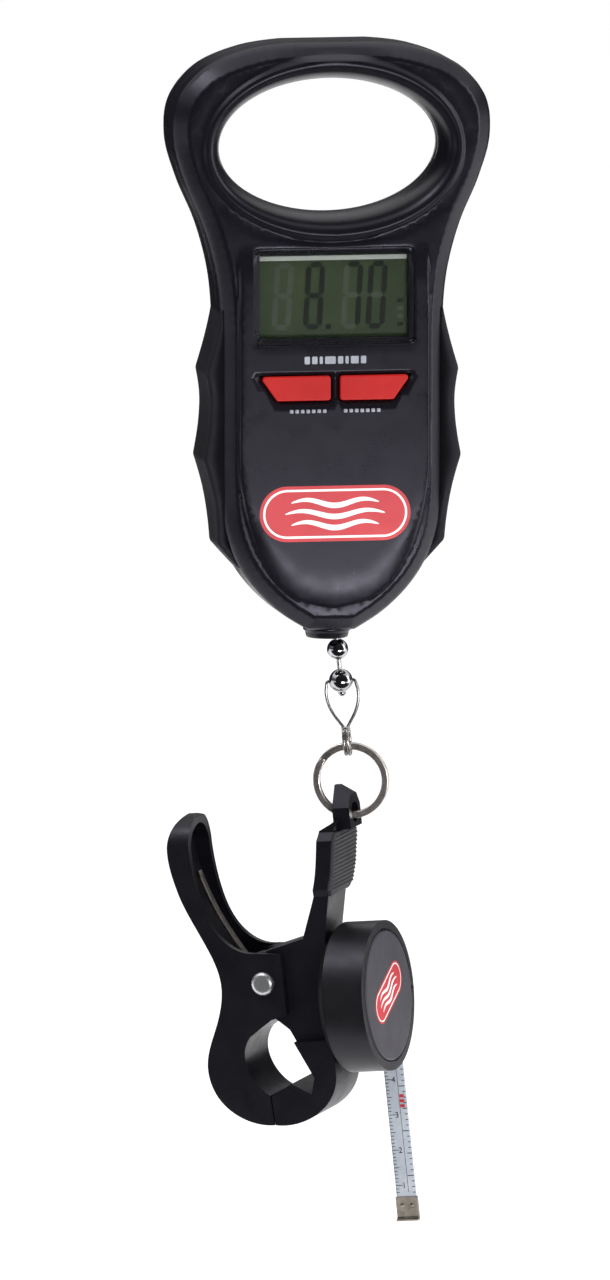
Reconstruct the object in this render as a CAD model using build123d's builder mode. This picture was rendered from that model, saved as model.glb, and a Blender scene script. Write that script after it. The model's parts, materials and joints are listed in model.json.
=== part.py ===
from build123d import *
import os
from math import cos, radians, sin

# Digital fish scale with a spring jaw gripper and a pull-out tape, in millimetres.
# Origin: the centre of the hand opening, half way through the case. +Z is up, the
# display faces -Y and +X is to the right of a person who reads it.

os.makedirs("parts", exist_ok=True)

# ---------------------------------------------------------------- driving dimensions
# Case: depths are measured from the parting plane y = 0
FRONT_DEPTH = 11.5
PANEL_RISE = 1.5
REAR_DEPTH = 12.5
BEVEL = 4.0
SIDE_WALL = 3.4
FACE_WALL = 2.4
CASE_FOOT = -134.8
COLLAR_SPIGOT = 5.6  # radius of the collar inside the case
CASE_TOP = (12, 29.0)
CASE_SHOULDER = [
    CASE_TOP, (25, 27.0), (37.0, 21.5), (43.7, 12.6), (44.6, 2.8), (41.4, -9.0),
    (36.2, -21.2), (32.6, -34.5), (31.2, -52),
]
CASE_TIP = [(31.2, -92), (29.5, -108), (24.2, -119.5), (15.4, -129.0), (6.4, CASE_FOOT)]
LOOP_HALF = (31.0, 18.6)  # hand opening at the parting plane
LOOP_FLARE = (4.5, 5.4)  # how much wider it is at the faces
LOOP_WALL = 2.4
HOLLOW_TOP = 16.0

# Raised front panel
PANEL_EDGE = [(27.0, -34.0), (27.0, -72.0), (24.9, -102.7), (20.4, -115.0), (12.6, -124.6)]
PANEL_TOP = -26.6
PANEL_FOOT = -128.4
PANEL_ROUND = 1.1

# Display window, display glass, holder and board
WINDOW_Z = -41.2
WINDOW = (45.0, 26.6)
WINDOW_HOLE = (41.8, 22.6)
WINDOW_SINK = 2.0
LENS_THICK = 1.0
LCD = (44.0, 25.0, 2.4)
HOLDER = (47.0, 28.4)
LCD_FRONT = 9.0  # distance of the display glass ahead of the parting plane
BOARD_FRONT = 4.6
BOARD_THICK = 1.2
BOARD_HALF = 25.4
BOARD_TOP = -27.2
BOARD_FOOT = -75.4
BOARD_SCREWS = (23.0, -58.6)
BOARD_SHANK = 0.9

# Buttons
BUTTON_TOP = -63.1
BUTTON_FOOT = -70.0
BUTTON_INNER = 1.3
BUTTON_OUTER_TOP = 21.3
BUTTON_OUTER_FOOT = 16.4
BUTTON_PROUD = 0.7
BUTTON_GAP = 0.25
BUTTON_STEM = (10.0, -66.5)  # the switch behind a button, from the middle
STEM_GAP = 0.9

# Rubber side grips
GRIP_TOP = (31.3, -45.0)
GRIP_RIDGES = [(33.4, -54.0), (35.8, -62.2), (34.7, -70.0), (34.9, -76.0), (36.5, -86.4)]
GRIP_TAIL = [(33.4, -98.0), (32.6, -104.5), (32.3, -110.3), (30.3, -112.6), (27.0, -116.2)]
GRIP_REACH = (8.4, 9.0)  # ahead of and behind the parting plane

# Screws that close the case
CASE_SCREWS = [(36.9, 8.5), (26.4, -24.2), (21.4, -113.4)]
SCREW_SHANK = 1.1
SCREW_HEAD = 2.3
SCREW_SUNK = 3.5
BOSS = 2.9

# Battery compartment
CELL_RADIUS = 5.25
CELL_LENGTH = 44.5
CELL_X = 5.6
CELL_DEPTH = 5.6  # behind the parting plane
CELL_TOP = -58.8
TRAY = (11.6, -57.0, -105.2)  # half width, top, foot
TRAY_HEIGHT = TRAY[1] - TRAY[2]
TRAY_CENTRE = (TRAY[1] + TRAY[2]) / 2
TRAY_WALL = 1.4
TRAY_FLOOR = -1.2
DOOR_THICK = 1.6
DOOR_LAP = 2.2

# Load cell and the stud that the chain hangs from
CELL_BAR = (18.0, 6.0)  # width and thickness
BAR_TOP = -78.0
BAR_FOOT = -119.0
BAR_FRONT = 8.6
BAR_SCREWS = [(-5, BAR_TOP - 5), (5, BAR_TOP - 5)]
BAR_SHANK = 1.5
STUD_Z = -112.0
STUD_RADIUS = 2.0
PIN_GAP = 0.05

# Chain: distances along the hang axis below the stud
LEAN = 5.9
CHAIN_YAW = 20.0
ROD_EYE = 4.4
ROD_RADIUS = 1.0
ROD_BORE = 4.2
BEAD_1 = (29.3, 3.0)
BEAD_2 = (38.2, 3.35)
NECK = 0.65
LINK_PLAY = 0.55
BEAD_HOLE = 1.5
BAIL_JOIN = 51.2
BAIL_HALF = 4.6
BAIL_WIRE = 0.5
EYE_FOOT = 59.5
EYE_HALF = 2.6
RING_CENTRE = 66.3
RING_OUT = 10.7
RING_IN = 8.7
RING_THICK = 2.0

# Gripper, in its own frame: u to the tape, w up, v to the front, from the pivot pin
GRIP_YAW = 30.0
LUG_FROM_PIN = (28.7, 44.9)  # lowest point of the ring's wire
HALF = 9.5
CHEEK = 2.0
CORE_HALF = 7.2
PIN_RADIUS = 2.0
PIN_HEAD = (3.35, 1.5)
HUB = 8.5
LEVER_OUTER_TOP = [(-19.6, 48.0), (-22.9, 44.8), (-24.4, 39.4), (-23.8, 31.7), (-22.3, 25.9)]
LEVER_OUTER_LOW = [
    (-22.3, 25.9), (-15.8, 11.3), (-12.5, 0.6), (-14.9, -11.0), (-18.9, -22.6),
    (-16.6, -31.8), (-10.4, -37.6), (-0.9, -40.1),
]
LEVER_MOUTH = [(-1.3, -31.7), (-5.9, -26.8), (-7.6, -20.8), (-5.3, -14.8)]
LEVER_APEX = (1.6, -10.3)
LEVER_EDGE = [(6.0, -9.2), (6.0, 8.0)]
LEVER_INNER = [(-1.0, 8.5), (-7.0, 9.8), (-12.2, 14.4), (-16.4, 24.6), (-17.7, 33.0), (-18.0, 40.0), (-17.4, 46.4)]
HANDLE_DOME = (9.7, 37.5, 9.9)  # half width, where the end starts to close, and its rise
CHANNEL_DOME = (7.7, 37.5, 7.2)
CHANNEL_EDGE = [(-20.2, 46.0), (-22.2, 40.0), (-21.4, 31.5), (-19.9, 25.6), (-13.5, 11.6), (-10.5, 0.5)]
BAR_INNER = [(12.3, 11.7), (15.4, 19.8), (18.2, 28.2), (19.5, 35.4), (20.3, 41.8), (23.9, 43.6)]
BAR_OUTER = [(25.8, 44.8), (24.8, 41.8), (23.1, 30.4), (21.2, 23.4), (18.9, 12.4)]
JAW_OUTER = [(18.9, -26.6), (16.6, -33.4), (10.9, -38.2), (-0.5, -40.1)]
JAW_TOOTH = [(-0.9, -31.9), (5.4, -28.6), (11.0, -31.9), (12.4, -27.3), (5.7, -13.7), (1.8, -10.4)]
JAW_TOP = -17.0
LUG = (23.9, 28.9)
LUG_SHAPE = [(4.6, 41.6), (4.6, 47.6), (0.8, 53.6)]  # half width and height
LUG_SLOPE = [(25.0, 54.0), (29.5, 50.3), (29.5, 54.0)]  # cut off its outer top
LUG_HOLE = (2.85, 45.8)
PAD_THICK = 1.5
PAD_RANGE = (23.4, 41.4)
PAD_HALF = 9.35
SPRING_OUT = 5.5
SPRING_IN = 3.7
SPRING_HALF = 2.7
SPRING_ROOM = 3.4

# Tape: a drum on a cross axle, at the right of the gripper
DRUM_W = -6.4
DRUM_RADIUS = 21.0
DRUM_FROM = 21.9
DRUM_TO = 33.1
DRUM_WALL = 1.6
BASE_FROM = 18.95
BASE_RADIUS = 17.5
AXLE_RADIUS = 2.2
TAPE_SCREW = 1.1
TAPE_SCREW_HEAD = 2.1
COIL_OUT = 15.85
COIL_IN = 7.05
REEL_OUT = 17.4
TAPE_U = (23.5, 29.5)
TAPE_BACK = 16.0
TAPE_THICK = 0.24
TAPE_FOOT = -66.2
HOOK_FOOT = -72.9
BUTTON_FACE = 18.2
BUTTON_FLANGE = 19.1


# ---------------------------------------------------------------- shared planes
def face_plane(depth):
    """Upright plane this far ahead of the parting plane, facing the front."""
    return Plane.XZ.offset(depth)


HANG = Plane(
    origin=(0, 0, STUD_Z),
    x_dir=(cos(radians(LEAN)), 0, sin(radians(LEAN))),
    z_dir=(-sin(radians(LEAN)), 0, cos(radians(LEAN))),
)


def hang_turned(turn):
    """The hang plane turned about the hang axis, by degrees towards the front."""
    across = HANG.x_dir * cos(radians(turn)) - HANG.y_dir * sin(radians(turn))
    return Plane(origin=HANG.origin, x_dir=across, z_dir=HANG.z_dir)


CHAIN = hang_turned(CHAIN_YAW)
GRIP_AXES = hang_turned(GRIP_YAW)
RING_FOOT = RING_CENTRE + (RING_OUT + RING_IN) / 2
PIN_CENTRE = GRIP_AXES.from_local_coords(
    (-LUG_FROM_PIN[0], 0, -RING_FOOT - LUG_FROM_PIN[1])
)
GRIP = Plane(origin=PIN_CENTRE, x_dir=GRIP_AXES.x_dir, z_dir=GRIP_AXES.z_dir)


def chain_level(drop):
    """Plane across the hang axis, this far below the stud."""
    return Plane(
        origin=CHAIN.from_local_coords((0, 0, -drop)), x_dir=CHAIN.x_dir, z_dir=CHAIN.z_dir
    )


def chain_face(drop):
    """Upright plane of the chain, facing the front, with its origin below the stud."""
    return Plane(
        origin=CHAIN.from_local_coords((0, 0, -drop)), x_dir=CHAIN.x_dir, z_dir=-CHAIN.y_dir
    )


def chain_side(drop):
    """Plane square to the one above, facing the right."""
    return Plane(
        origin=CHAIN.from_local_coords((0, 0, -drop)), x_dir=CHAIN.y_dir, z_dir=CHAIN.x_dir
    )


def grip_face(v):
    """Gripper plane this far ahead of its middle: x is u and y is w."""
    return Plane(
        origin=GRIP.from_local_coords((0, -v, 0)), x_dir=GRIP.x_dir, z_dir=-GRIP.y_dir
    )


def grip_side(u, w=0.0):
    """Gripper plane across u, facing the right: x is to the rear and y is w."""
    return Plane(
        origin=GRIP.from_local_coords((u, 0, w)), x_dir=GRIP.y_dir, z_dir=GRIP.x_dir
    )


# ---------------------------------------------------------------- case outlines
def inset_spline(points, tangents, inset):
    """Curve through the points, moved inward: to its right as it runs down."""
    path = Spline(*points, tangents=tangents, mode=Mode.PRIVATE)
    steps = 2 * len(points)
    moved = []
    for step in range(steps + 1):
        place, way = path @ (step / steps), path % (step / steps)
        moved.append((place.X + way.Y * inset, place.Y - way.X * inset))
    return Spline(*moved, tangents=tangents)


def case_face(inset=0.0):
    """The case seen from the front, or its outline moved inward."""
    with BuildSketch() as face:
        with BuildLine():
            shoulder = inset_spline(CASE_SHOULDER, [(1, 0), (0, -1)], inset)
            tip = inset_spline(CASE_TIP, [(0, -1), (-1, -0.62)], inset)
            Line((0, (shoulder @ 0).Y), shoulder @ 0)
            Line(shoulder @ 1, tip @ 0)
            Line(tip @ 1, (0, (tip @ 1).Y))
            mirror(about=Plane.YZ)
        make_face()
    return face.sketch


def hollow_face():
    """The case's hollow: inside the wall, clear of the hand opening's own wall."""
    with BuildSketch() as face:
        add(case_face(SIDE_WALL))
        Ellipse(
            LOOP_HALF[0] + LOOP_FLARE[0] + LOOP_WALL,
            LOOP_HALF[1] + LOOP_FLARE[1] + LOOP_WALL,
            mode=Mode.SUBTRACT,
        )
        with Locations((0, HOLLOW_TOP - 100)):
            Rectangle(120, 200, mode=Mode.INTERSECT)
    return face.sketch


def loop_face(share):
    """The hand opening, from the parting plane (0) out to a face (1)."""
    with BuildSketch() as face:
        Ellipse(LOOP_HALF[0] + LOOP_FLARE[0] * share, LOOP_HALF[1] + LOOP_FLARE[1] * share)
    return face.sketch


def panel_face():
    """The raised panel: straight sides that close in a dome."""
    with BuildSketch() as face:
        with BuildLine():
            Line((0, PANEL_TOP), (PANEL_EDGE[0][0] - 5, PANEL_TOP))
            Line((PANEL_EDGE[0][0] - 5, PANEL_TOP), PANEL_EDGE[0])
            Line(PANEL_EDGE[0], PANEL_EDGE[1])
            Spline(*PANEL_EDGE[1:], (0, PANEL_FOOT), tangents=[(0, -1), (-1, 0)])
            mirror(about=Plane.YZ)
        make_face()
    return face.sketch


def button_face(side, grow=0.0):
    """One trapezoid button; side is -1 for the left one and 1 for the right."""
    with BuildSketch() as face:
        with BuildLine():
            Polyline(
                (side * BUTTON_INNER, BUTTON_TOP),
                (side * BUTTON_OUTER_TOP, BUTTON_TOP),
                (side * BUTTON_OUTER_FOOT, BUTTON_FOOT),
                (side * BUTTON_INNER, BUTTON_FOOT),
                close=True,
            )
        make_face()
        fillet(face.vertices(), 0.9)
        if grow:
            offset(amount=grow, mode=Mode.REPLACE)
    return face.sketch


def case_screw_places():
    """The six case screws, seen from the front."""
    return Locations(*[(side * x, z) for side in (-1, 1) for x, z in CASE_SCREWS])


def board_screw_places():
    """The two board screws, seen from the front."""
    return Locations(*[(side * BOARD_SCREWS[0], BOARD_SCREWS[1]) for side in (-1, 1)])


# ---------------------------------------------------------------- front shell
with BuildPart() as front_shell:
    with BuildSketch(face_plane(0)):
        add(case_face())
    extrude(amount=FRONT_DEPTH - BEVEL)
    with BuildSketch(face_plane(FRONT_DEPTH - BEVEL)):
        add(case_face())
    with BuildSketch(face_plane(FRONT_DEPTH)):
        add(case_face(BEVEL))
    loft()
    with BuildSketch(face_plane(FRONT_DEPTH)):
        add(panel_face())
    extrude(amount=PANEL_RISE)
    fillet(front_shell.faces().sort_by(Axis.Y)[0].edges(), PANEL_ROUND)
    with BuildSketch(face_plane(0)):
        add(hollow_face())
    extrude(amount=FRONT_DEPTH - FACE_WALL, mode=Mode.SUBTRACT)
    # screw bosses, board posts and the load cell's seat
    with BuildSketch(face_plane(0)):
        with case_screw_places():
            Circle(BOSS)
    extrude(amount=FRONT_DEPTH - FACE_WALL)
    with BuildSketch(face_plane(BOARD_FRONT)):
        with board_screw_places():
            Circle(2.3)
    extrude(amount=FRONT_DEPTH - FACE_WALL - BOARD_FRONT)
    with BuildSketch(face_plane(BAR_FRONT)):
        with Locations((0, BAR_TOP - 5)):
            Rectangle(CELL_BAR[0], 9)
    extrude(amount=FRONT_DEPTH - FACE_WALL - BAR_FRONT)
    # hand opening
    with BuildSketch(face_plane(0)):
        add(loop_face(0))
    with BuildSketch(face_plane(FRONT_DEPTH * 1.1)):
        add(loop_face(1.1))
    loft(mode=Mode.SUBTRACT)
    # display window and button holes
    with BuildSketch(face_plane(FRONT_DEPTH + PANEL_RISE)):
        with Locations((0, WINDOW_Z)):
            RectangleRounded(*WINDOW, 1.2)
    extrude(amount=-WINDOW_SINK, mode=Mode.SUBTRACT)
    with BuildSketch(face_plane(FRONT_DEPTH + PANEL_RISE)):
        with Locations((0, WINDOW_Z)):
            Rectangle(*WINDOW_HOLE)
        for side in (-1, 1):
            add(button_face(side, BUTTON_GAP))
    extrude(amount=-8, mode=Mode.SUBTRACT)
    # blind holes for the case screws, the board screws and the load cell screws
    with BuildSketch(face_plane(0)):
        with case_screw_places():
            Circle(SCREW_SHANK + PIN_GAP)
    extrude(amount=7, mode=Mode.SUBTRACT)
    with BuildSketch(face_plane(BOARD_FRONT)):
        with board_screw_places():
            Circle(BOARD_SHANK + PIN_GAP)
    extrude(amount=4, mode=Mode.SUBTRACT)
    with BuildSketch(face_plane(BAR_FRONT)):
        with Locations(*BAR_SCREWS):
            Circle(BAR_SHANK + PIN_GAP)
    extrude(amount=3.4, mode=Mode.SUBTRACT)
    # half of the hole for the collar, through the foot
    with BuildSketch(Plane.XY.offset(CASE_FOOT - 1)):
        Circle(COLLAR_SPIGOT + PIN_GAP)
    extrude(amount=12, mode=Mode.SUBTRACT)

front_shell.part.label = "front_shell"
export_step(front_shell.part, "parts/front_shell.step")


# ---------------------------------------------------------------- rear shell
with BuildPart() as rear_shell:
    with BuildSketch(face_plane(0)):
        add(case_face())
    extrude(amount=-(REAR_DEPTH - BEVEL))
    with BuildSketch(face_plane(BEVEL - REAR_DEPTH)):
        add(case_face())
    with BuildSketch(face_plane(-REAR_DEPTH)):
        add(case_face(BEVEL))
    loft()
    with BuildSketch(face_plane(0)):
        add(hollow_face())
    extrude(amount=-(REAR_DEPTH - FACE_WALL), mode=Mode.SUBTRACT)
    with BuildSketch(face_plane(0)):
        with case_screw_places():
            Circle(BOSS)
    extrude(amount=-(REAR_DEPTH - FACE_WALL))
    # battery tray, open to the rear, with a rebate for its door
    with BuildSketch(face_plane(-TRAY_FLOOR)):
        with Locations((0, TRAY_CENTRE)):
            Rectangle(2 * (TRAY[0] + TRAY_WALL), TRAY_HEIGHT + 2 * TRAY_WALL)
    extrude(amount=-(REAR_DEPTH - 1 - TRAY_FLOOR))
    with BuildSketch(face_plane(-(TRAY_FLOOR + TRAY_WALL))):
        with Locations((0, TRAY_CENTRE)):
            Rectangle(2 * TRAY[0], TRAY_HEIGHT)
    extrude(amount=-REAR_DEPTH, mode=Mode.SUBTRACT)
    with BuildSketch(face_plane(-REAR_DEPTH)):
        with Locations((0, TRAY_CENTRE)):
            RectangleRounded(2 * (TRAY[0] + DOOR_LAP), TRAY_HEIGHT + 2 * DOOR_LAP, 2)
    extrude(amount=DOOR_THICK, mode=Mode.SUBTRACT)
    # hand opening
    with BuildSketch(face_plane(0)):
        add(loop_face(0))
    with BuildSketch(face_plane(-REAR_DEPTH * 1.1)):
        add(loop_face(1.1))
    loft(mode=Mode.SUBTRACT)
    # screw holes with sunk heads
    with BuildSketch(face_plane(1)):
        with case_screw_places():
            Circle(SCREW_SHANK + PIN_GAP)
    extrude(amount=-REAR_DEPTH - 1, mode=Mode.SUBTRACT)
    with BuildSketch(face_plane(-REAR_DEPTH)):
        with case_screw_places():
            Circle(SCREW_HEAD + 0.15)
    extrude(amount=SCREW_SUNK, mode=Mode.SUBTRACT)
    with BuildSketch(Plane.XY.offset(CASE_FOOT - 1)):
        Circle(COLLAR_SPIGOT + PIN_GAP)
    extrude(amount=12, mode=Mode.SUBTRACT)

rear_shell.part.label = "rear_shell"
export_step(rear_shell.part, "parts/rear_shell.step")


# ---------------------------------------------------------------- side grips
def grip_outline(side):
    """Rubber grip seen from the front: from the case's edge out to the ridges."""
    with BuildSketch() as face:
        with BuildLine():
            Line((20, GRIP_TOP[1] - 1), GRIP_TOP)
            Spline(GRIP_TOP, *GRIP_RIDGES[:2], tangents=[(0.1, -1), (0.32, -1)])
            Spline(*GRIP_RIDGES[1:], tangents=[(-0.3, -1), (0.35, -1)])
            Spline(GRIP_RIDGES[-1], *GRIP_TAIL[:3], tangents=[(-0.5, -1), (0.1, -1)])
            Polyline(*GRIP_TAIL[2:], (20, GRIP_TAIL[-1][1]), (20, GRIP_TOP[1] - 1))
        make_face()
        if side < 0:
            mirror(about=Plane.YZ, mode=Mode.REPLACE)
        add(case_face(), mode=Mode.SUBTRACT)
    return face.sketch


with BuildPart() as left_grip:
    with BuildSketch(face_plane(GRIP_REACH[0])):
        add(grip_outline(-1))
    extrude(amount=-sum(GRIP_REACH))

left_grip.part.label = "left_grip"
export_step(left_grip.part, "parts/left_grip.step")

with BuildPart() as right_grip:
    with BuildSketch(face_plane(GRIP_REACH[0])):
        add(grip_outline(1))
    extrude(amount=-sum(GRIP_REACH))

right_grip.part.label = "right_grip"
export_step(right_grip.part, "parts/right_grip.step")


# ---------------------------------------------------------------- display and board
with BuildPart() as lcd_lens:
    with BuildSketch(face_plane(FRONT_DEPTH + PANEL_RISE - WINDOW_SINK)):
        with Locations((0, WINDOW_Z)):
            RectangleRounded(WINDOW[0] - 0.2, WINDOW[1] - 0.2, 1.1)
    extrude(amount=LENS_THICK)

lcd_lens.part.label = "lcd_lens"
export_step(lcd_lens.part, "parts/lcd_lens.step")

with BuildPart() as lcd_panel:
    with BuildSketch(face_plane(LCD_FRONT)):
        with Locations((0, WINDOW_Z)):
            Rectangle(LCD[0], LCD[1])
    extrude(amount=-LCD[2])

lcd_panel.part.label = "lcd_panel"
export_step(lcd_panel.part, "parts/lcd_panel.step")

with BuildPart() as lcd_holder:
    with BuildSketch(face_plane(LCD_FRONT)):
        with Locations((0, WINDOW_Z)):
            RectangleRounded(*HOLDER, 1)
            Rectangle(LCD[0] + 0.2, LCD[1] + 0.2, mode=Mode.SUBTRACT)
    extrude(amount=-(LCD_FRONT - BOARD_FRONT - 0.05))

lcd_holder.part.label = "lcd_holder"
export_step(lcd_holder.part, "parts/lcd_holder.step")

with BuildPart() as zebra_strips:
    with BuildSketch(face_plane(LCD_FRONT - LCD[2])):
        with Locations((0, WINDOW_Z + 11), (0, WINDOW_Z - 11)):
            Rectangle(40, 2)
    extrude(amount=-(LCD_FRONT - LCD[2] - BOARD_FRONT))

zebra_strips.part.label = "zebra_strips"
export_step(zebra_strips.part, "parts/zebra_strips.step")

with BuildPart() as main_board:
    with BuildSketch(face_plane(BOARD_FRONT)) as board_face:
        with Locations((0, (BOARD_TOP + BOARD_FOOT) / 2)):
            Rectangle(2 * BOARD_HALF, BOARD_TOP - BOARD_FOOT)
        chamfer(board_face.vertices(), 4)
        with board_screw_places():
            Circle(1.0, mode=Mode.SUBTRACT)
    extrude(amount=-BOARD_THICK)

main_board.part.label = "main_board"
export_step(main_board.part, "parts/main_board.step")

with BuildPart() as board_components:
    with BuildSketch(face_plane(BOARD_FRONT - BOARD_THICK)):
        with Locations((-4, -40)):
            Circle(5.5)
        with GridLocations(6, 5, 3, 2):
            with Locations((12, -44)):
                Rectangle(3, 1.6)
        with Locations((-17, -42), (-17, -48)):
            Rectangle(5, 3)
    extrude(amount=-1.3)

board_components.part.label = "board_components"
export_step(board_components.part, "parts/board_components.step")

with BuildPart() as button_switches:
    with BuildSketch(face_plane(BOARD_FRONT)):
        with Locations((-BUTTON_STEM[0], BUTTON_STEM[1]), BUTTON_STEM):
            Rectangle(5, 5)
    extrude(amount=1.2)

button_switches.part.label = "button_switches"
export_step(button_switches.part, "parts/button_switches.step")

with BuildPart() as board_screws:
    with BuildSketch(face_plane(BOARD_FRONT - BOARD_THICK)):
        with board_screw_places():
            Circle(1.9)
    extrude(amount=-1.2)
    with BuildSketch(face_plane(BOARD_FRONT - BOARD_THICK)):
        with board_screw_places():
            Circle(BOARD_SHANK)
    extrude(amount=4.4)

board_screws.part.label = "board_screws"
export_step(board_screws.part, "parts/board_screws.step")


def button_solid(side):
    """Cap through the panel, flange behind it and stem towards its switch."""
    inner_wall = FRONT_DEPTH - FACE_WALL
    with BuildPart() as button:
        with BuildSketch(face_plane(inner_wall)):
            add(button_face(side))
        extrude(amount=FACE_WALL + PANEL_RISE + BUTTON_PROUD)
        fillet(button.faces().sort_by(Axis.Y)[0].edges(), 0.4)
        with BuildSketch(face_plane(inner_wall - 0.05)):
            add(button_face(side, 0.8))
        extrude(amount=-0.8)
        with BuildSketch(face_plane(inner_wall)):
            add(button_face(side))
            with Locations((side * BUTTON_STEM[0], BUTTON_STEM[1])):
                Circle(1.6)
        extrude(amount=-0.1)
        with BuildSketch(face_plane(inner_wall - 0.8)):
            with Locations((side * BUTTON_STEM[0], BUTTON_STEM[1])):
                Circle(1.6)
        extrude(amount=-(inner_wall - 0.8 - BOARD_FRONT - 1.2 - STEM_GAP))
    return button.part


with BuildPart() as power_button:
    add(button_solid(-1))

power_button.part.label = "power_button"
export_step(power_button.part, "parts/power_button.step")

with BuildPart() as units_button:
    add(button_solid(1))

units_button.part.label = "units_button"
export_step(units_button.part, "parts/units_button.step")


# ---------------------------------------------------------------- batteries and door
with BuildPart() as batteries:
    for side in (-1, 1):
        with BuildSketch(Plane((side * CELL_X, CELL_DEPTH, CELL_TOP - 0.8))):
            Circle(CELL_RADIUS)
        extrude(amount=-(CELL_LENGTH - 0.8))
    with BuildSketch(Plane((CELL_X, CELL_DEPTH, CELL_TOP - 0.8))):
        Circle(1.9)
    extrude(amount=0.8)
    with BuildSketch(Plane((-CELL_X, CELL_DEPTH, CELL_TOP - CELL_LENGTH))):
        Circle(1.9)
    extrude(amount=-0.8)

batteries.part.label = "batteries"
export_step(batteries.part, "parts/batteries.step")

with BuildPart() as battery_contacts:
    for x, level, way in (
        (-CELL_X, TRAY[1], -1), (CELL_X, TRAY[1], -1), (-CELL_X, TRAY[2], 1), (CELL_X, TRAY[2], 1),
    ):
        with BuildSketch(Plane((x, CELL_DEPTH, level))):
            Rectangle(8.4, 8.4)
        extrude(amount=way * 0.4)

battery_contacts.part.label = "battery_contacts"
export_step(battery_contacts.part, "parts/battery_contacts.step")

with BuildPart() as battery_door:
    with BuildSketch(face_plane(-REAR_DEPTH)):
        with Locations((0, TRAY_CENTRE)):
            RectangleRounded(2 * (TRAY[0] + DOOR_LAP) - 0.4, TRAY_HEIGHT + 2 * DOOR_LAP - 0.4, 1.8)
    extrude(amount=DOOR_THICK - 0.05)
    # thumb ridges cut near the top of the door
    with BuildSketch(face_plane(-REAR_DEPTH)):
        with Locations((0, TRAY[1] - 7)):
            with GridLocations(0, 2.2, 1, 4):
                SlotOverall(14, 1)
    extrude(amount=0.6, mode=Mode.SUBTRACT)
    # rib that keeps the cells down
    with BuildSketch(face_plane(-(REAR_DEPTH - DOOR_THICK + 0.2))):
        with Locations((0, TRAY_CENTRE)):
            Rectangle(1.2, 30)
    extrude(amount=1.2)

battery_door.part.label = "battery_door"
export_step(battery_door.part, "parts/battery_door.step")

with BuildPart() as case_screws:
    with BuildSketch(face_plane(-(REAR_DEPTH - SCREW_SUNK + PIN_GAP))):
        with case_screw_places():
            Circle(SCREW_HEAD)
    extrude(amount=-1.7)
    with BuildSketch(face_plane(-(REAR_DEPTH - SCREW_SUNK + PIN_GAP))):
        with case_screw_places():
            Circle(SCREW_SHANK)
    extrude(amount=REAR_DEPTH - SCREW_SUNK + PIN_GAP + 6.5)
    with BuildSketch(face_plane(-(REAR_DEPTH - SCREW_SUNK / 2))):
        with case_screw_places():
            Rectangle(3.2, 0.6)
            Rectangle(0.6, 3.2)
    extrude(amount=1.0, mode=Mode.SUBTRACT)

case_screws.part.label = "case_screws"
export_step(case_screws.part, "parts/case_screws.step")


# ---------------------------------------------------------------- load cell and collar
with BuildPart() as load_cell:
    with BuildSketch(face_plane(BAR_FRONT)):
        with Locations((0, (BAR_TOP + BAR_FOOT) / 2)):
            Rectangle(CELL_BAR[0], BAR_TOP - BAR_FOOT)
        # S-shaped beam: a slot from each side and a pair of thinning holes
        with Locations((-4, BAR_TOP - 12), (4, BAR_FOOT + 14)):
            Rectangle(CELL_BAR[0], 1.6, mode=Mode.SUBTRACT)
        with Locations((0, BAR_TOP - 19.5)):
            Circle(2.6, mode=Mode.SUBTRACT)
        with Locations((0, STUD_Z)):
            Circle(STUD_RADIUS, mode=Mode.SUBTRACT)
        with Locations(*BAR_SCREWS):
            Circle(BAR_SHANK + PIN_GAP, mode=Mode.SUBTRACT)
    extrude(amount=-CELL_BAR[1])
    with BuildSketch(face_plane(BAR_FRONT - CELL_BAR[1])):
        with Locations(*BAR_SCREWS):
            Circle(2.7)
    extrude(amount=2, mode=Mode.SUBTRACT)

load_cell.part.label = "load_cell"
export_step(load_cell.part, "parts/load_cell.step")

with BuildPart() as load_cell_screws:
    with BuildSketch(face_plane(BAR_FRONT - CELL_BAR[1] + 2)):
        with Locations(*BAR_SCREWS):
            Circle(2.6)
    extrude(amount=-1.8)
    with BuildSketch(face_plane(BAR_FRONT - CELL_BAR[1] + 2)):
        with Locations(*BAR_SCREWS):
            Circle(BAR_SHANK)
    extrude(amount=7)

load_cell_screws.part.label = "load_cell_screws"
export_step(load_cell_screws.part, "parts/load_cell_screws.step")

with BuildPart() as load_stud:
    with BuildSketch(face_plane(BAR_FRONT)):
        with Locations((0, STUD_Z)):
            Circle(STUD_RADIUS)
    extrude(amount=-(BAR_FRONT + 1.4))
    with BuildSketch(face_plane(BAR_FRONT - CELL_BAR[1])):
        with Locations((0, STUD_Z)):
            Circle(3.0)
    extrude(amount=-(BAR_FRONT - CELL_BAR[1] - 1.3))
    with BuildSketch(face_plane(-1.4)):
        with Locations((0, STUD_Z)):
            Circle(3.4)
    extrude(amount=-1)

load_stud.part.label = "load_stud"
export_step(load_stud.part, "parts/load_stud.step")

with BuildPart() as sensor_wires:
    with BuildSketch(Plane((0, -BOARD_FRONT - 0.45, BAR_TOP))):
        with GridLocations(1.6, 1, 4, 1):
            Circle(0.4)
    extrude(amount=6)

sensor_wires.part.label = "sensor_wires"
export_step(sensor_wires.part, "parts/sensor_wires.step")

with BuildPart() as bottom_collar:
    with BuildSketch(Plane.XY.offset(CASE_FOOT)):
        Circle(6.7)
    with BuildSketch(Plane.XY.offset(CASE_FOOT - 2.8)):
        Circle(5.8)
    loft()
    with BuildSketch(Plane.XY.offset(CASE_FOOT)):
        Circle(COLLAR_SPIGOT)
    extrude(amount=4.2)
    with BuildSketch(Plane.XY.offset(CASE_FOOT - 3)):
        Circle(ROD_BORE)
    extrude(amount=8, mode=Mode.SUBTRACT)

bottom_collar.part.label = "bottom_collar"
export_step(bottom_collar.part, "parts/bottom_collar.step")


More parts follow.
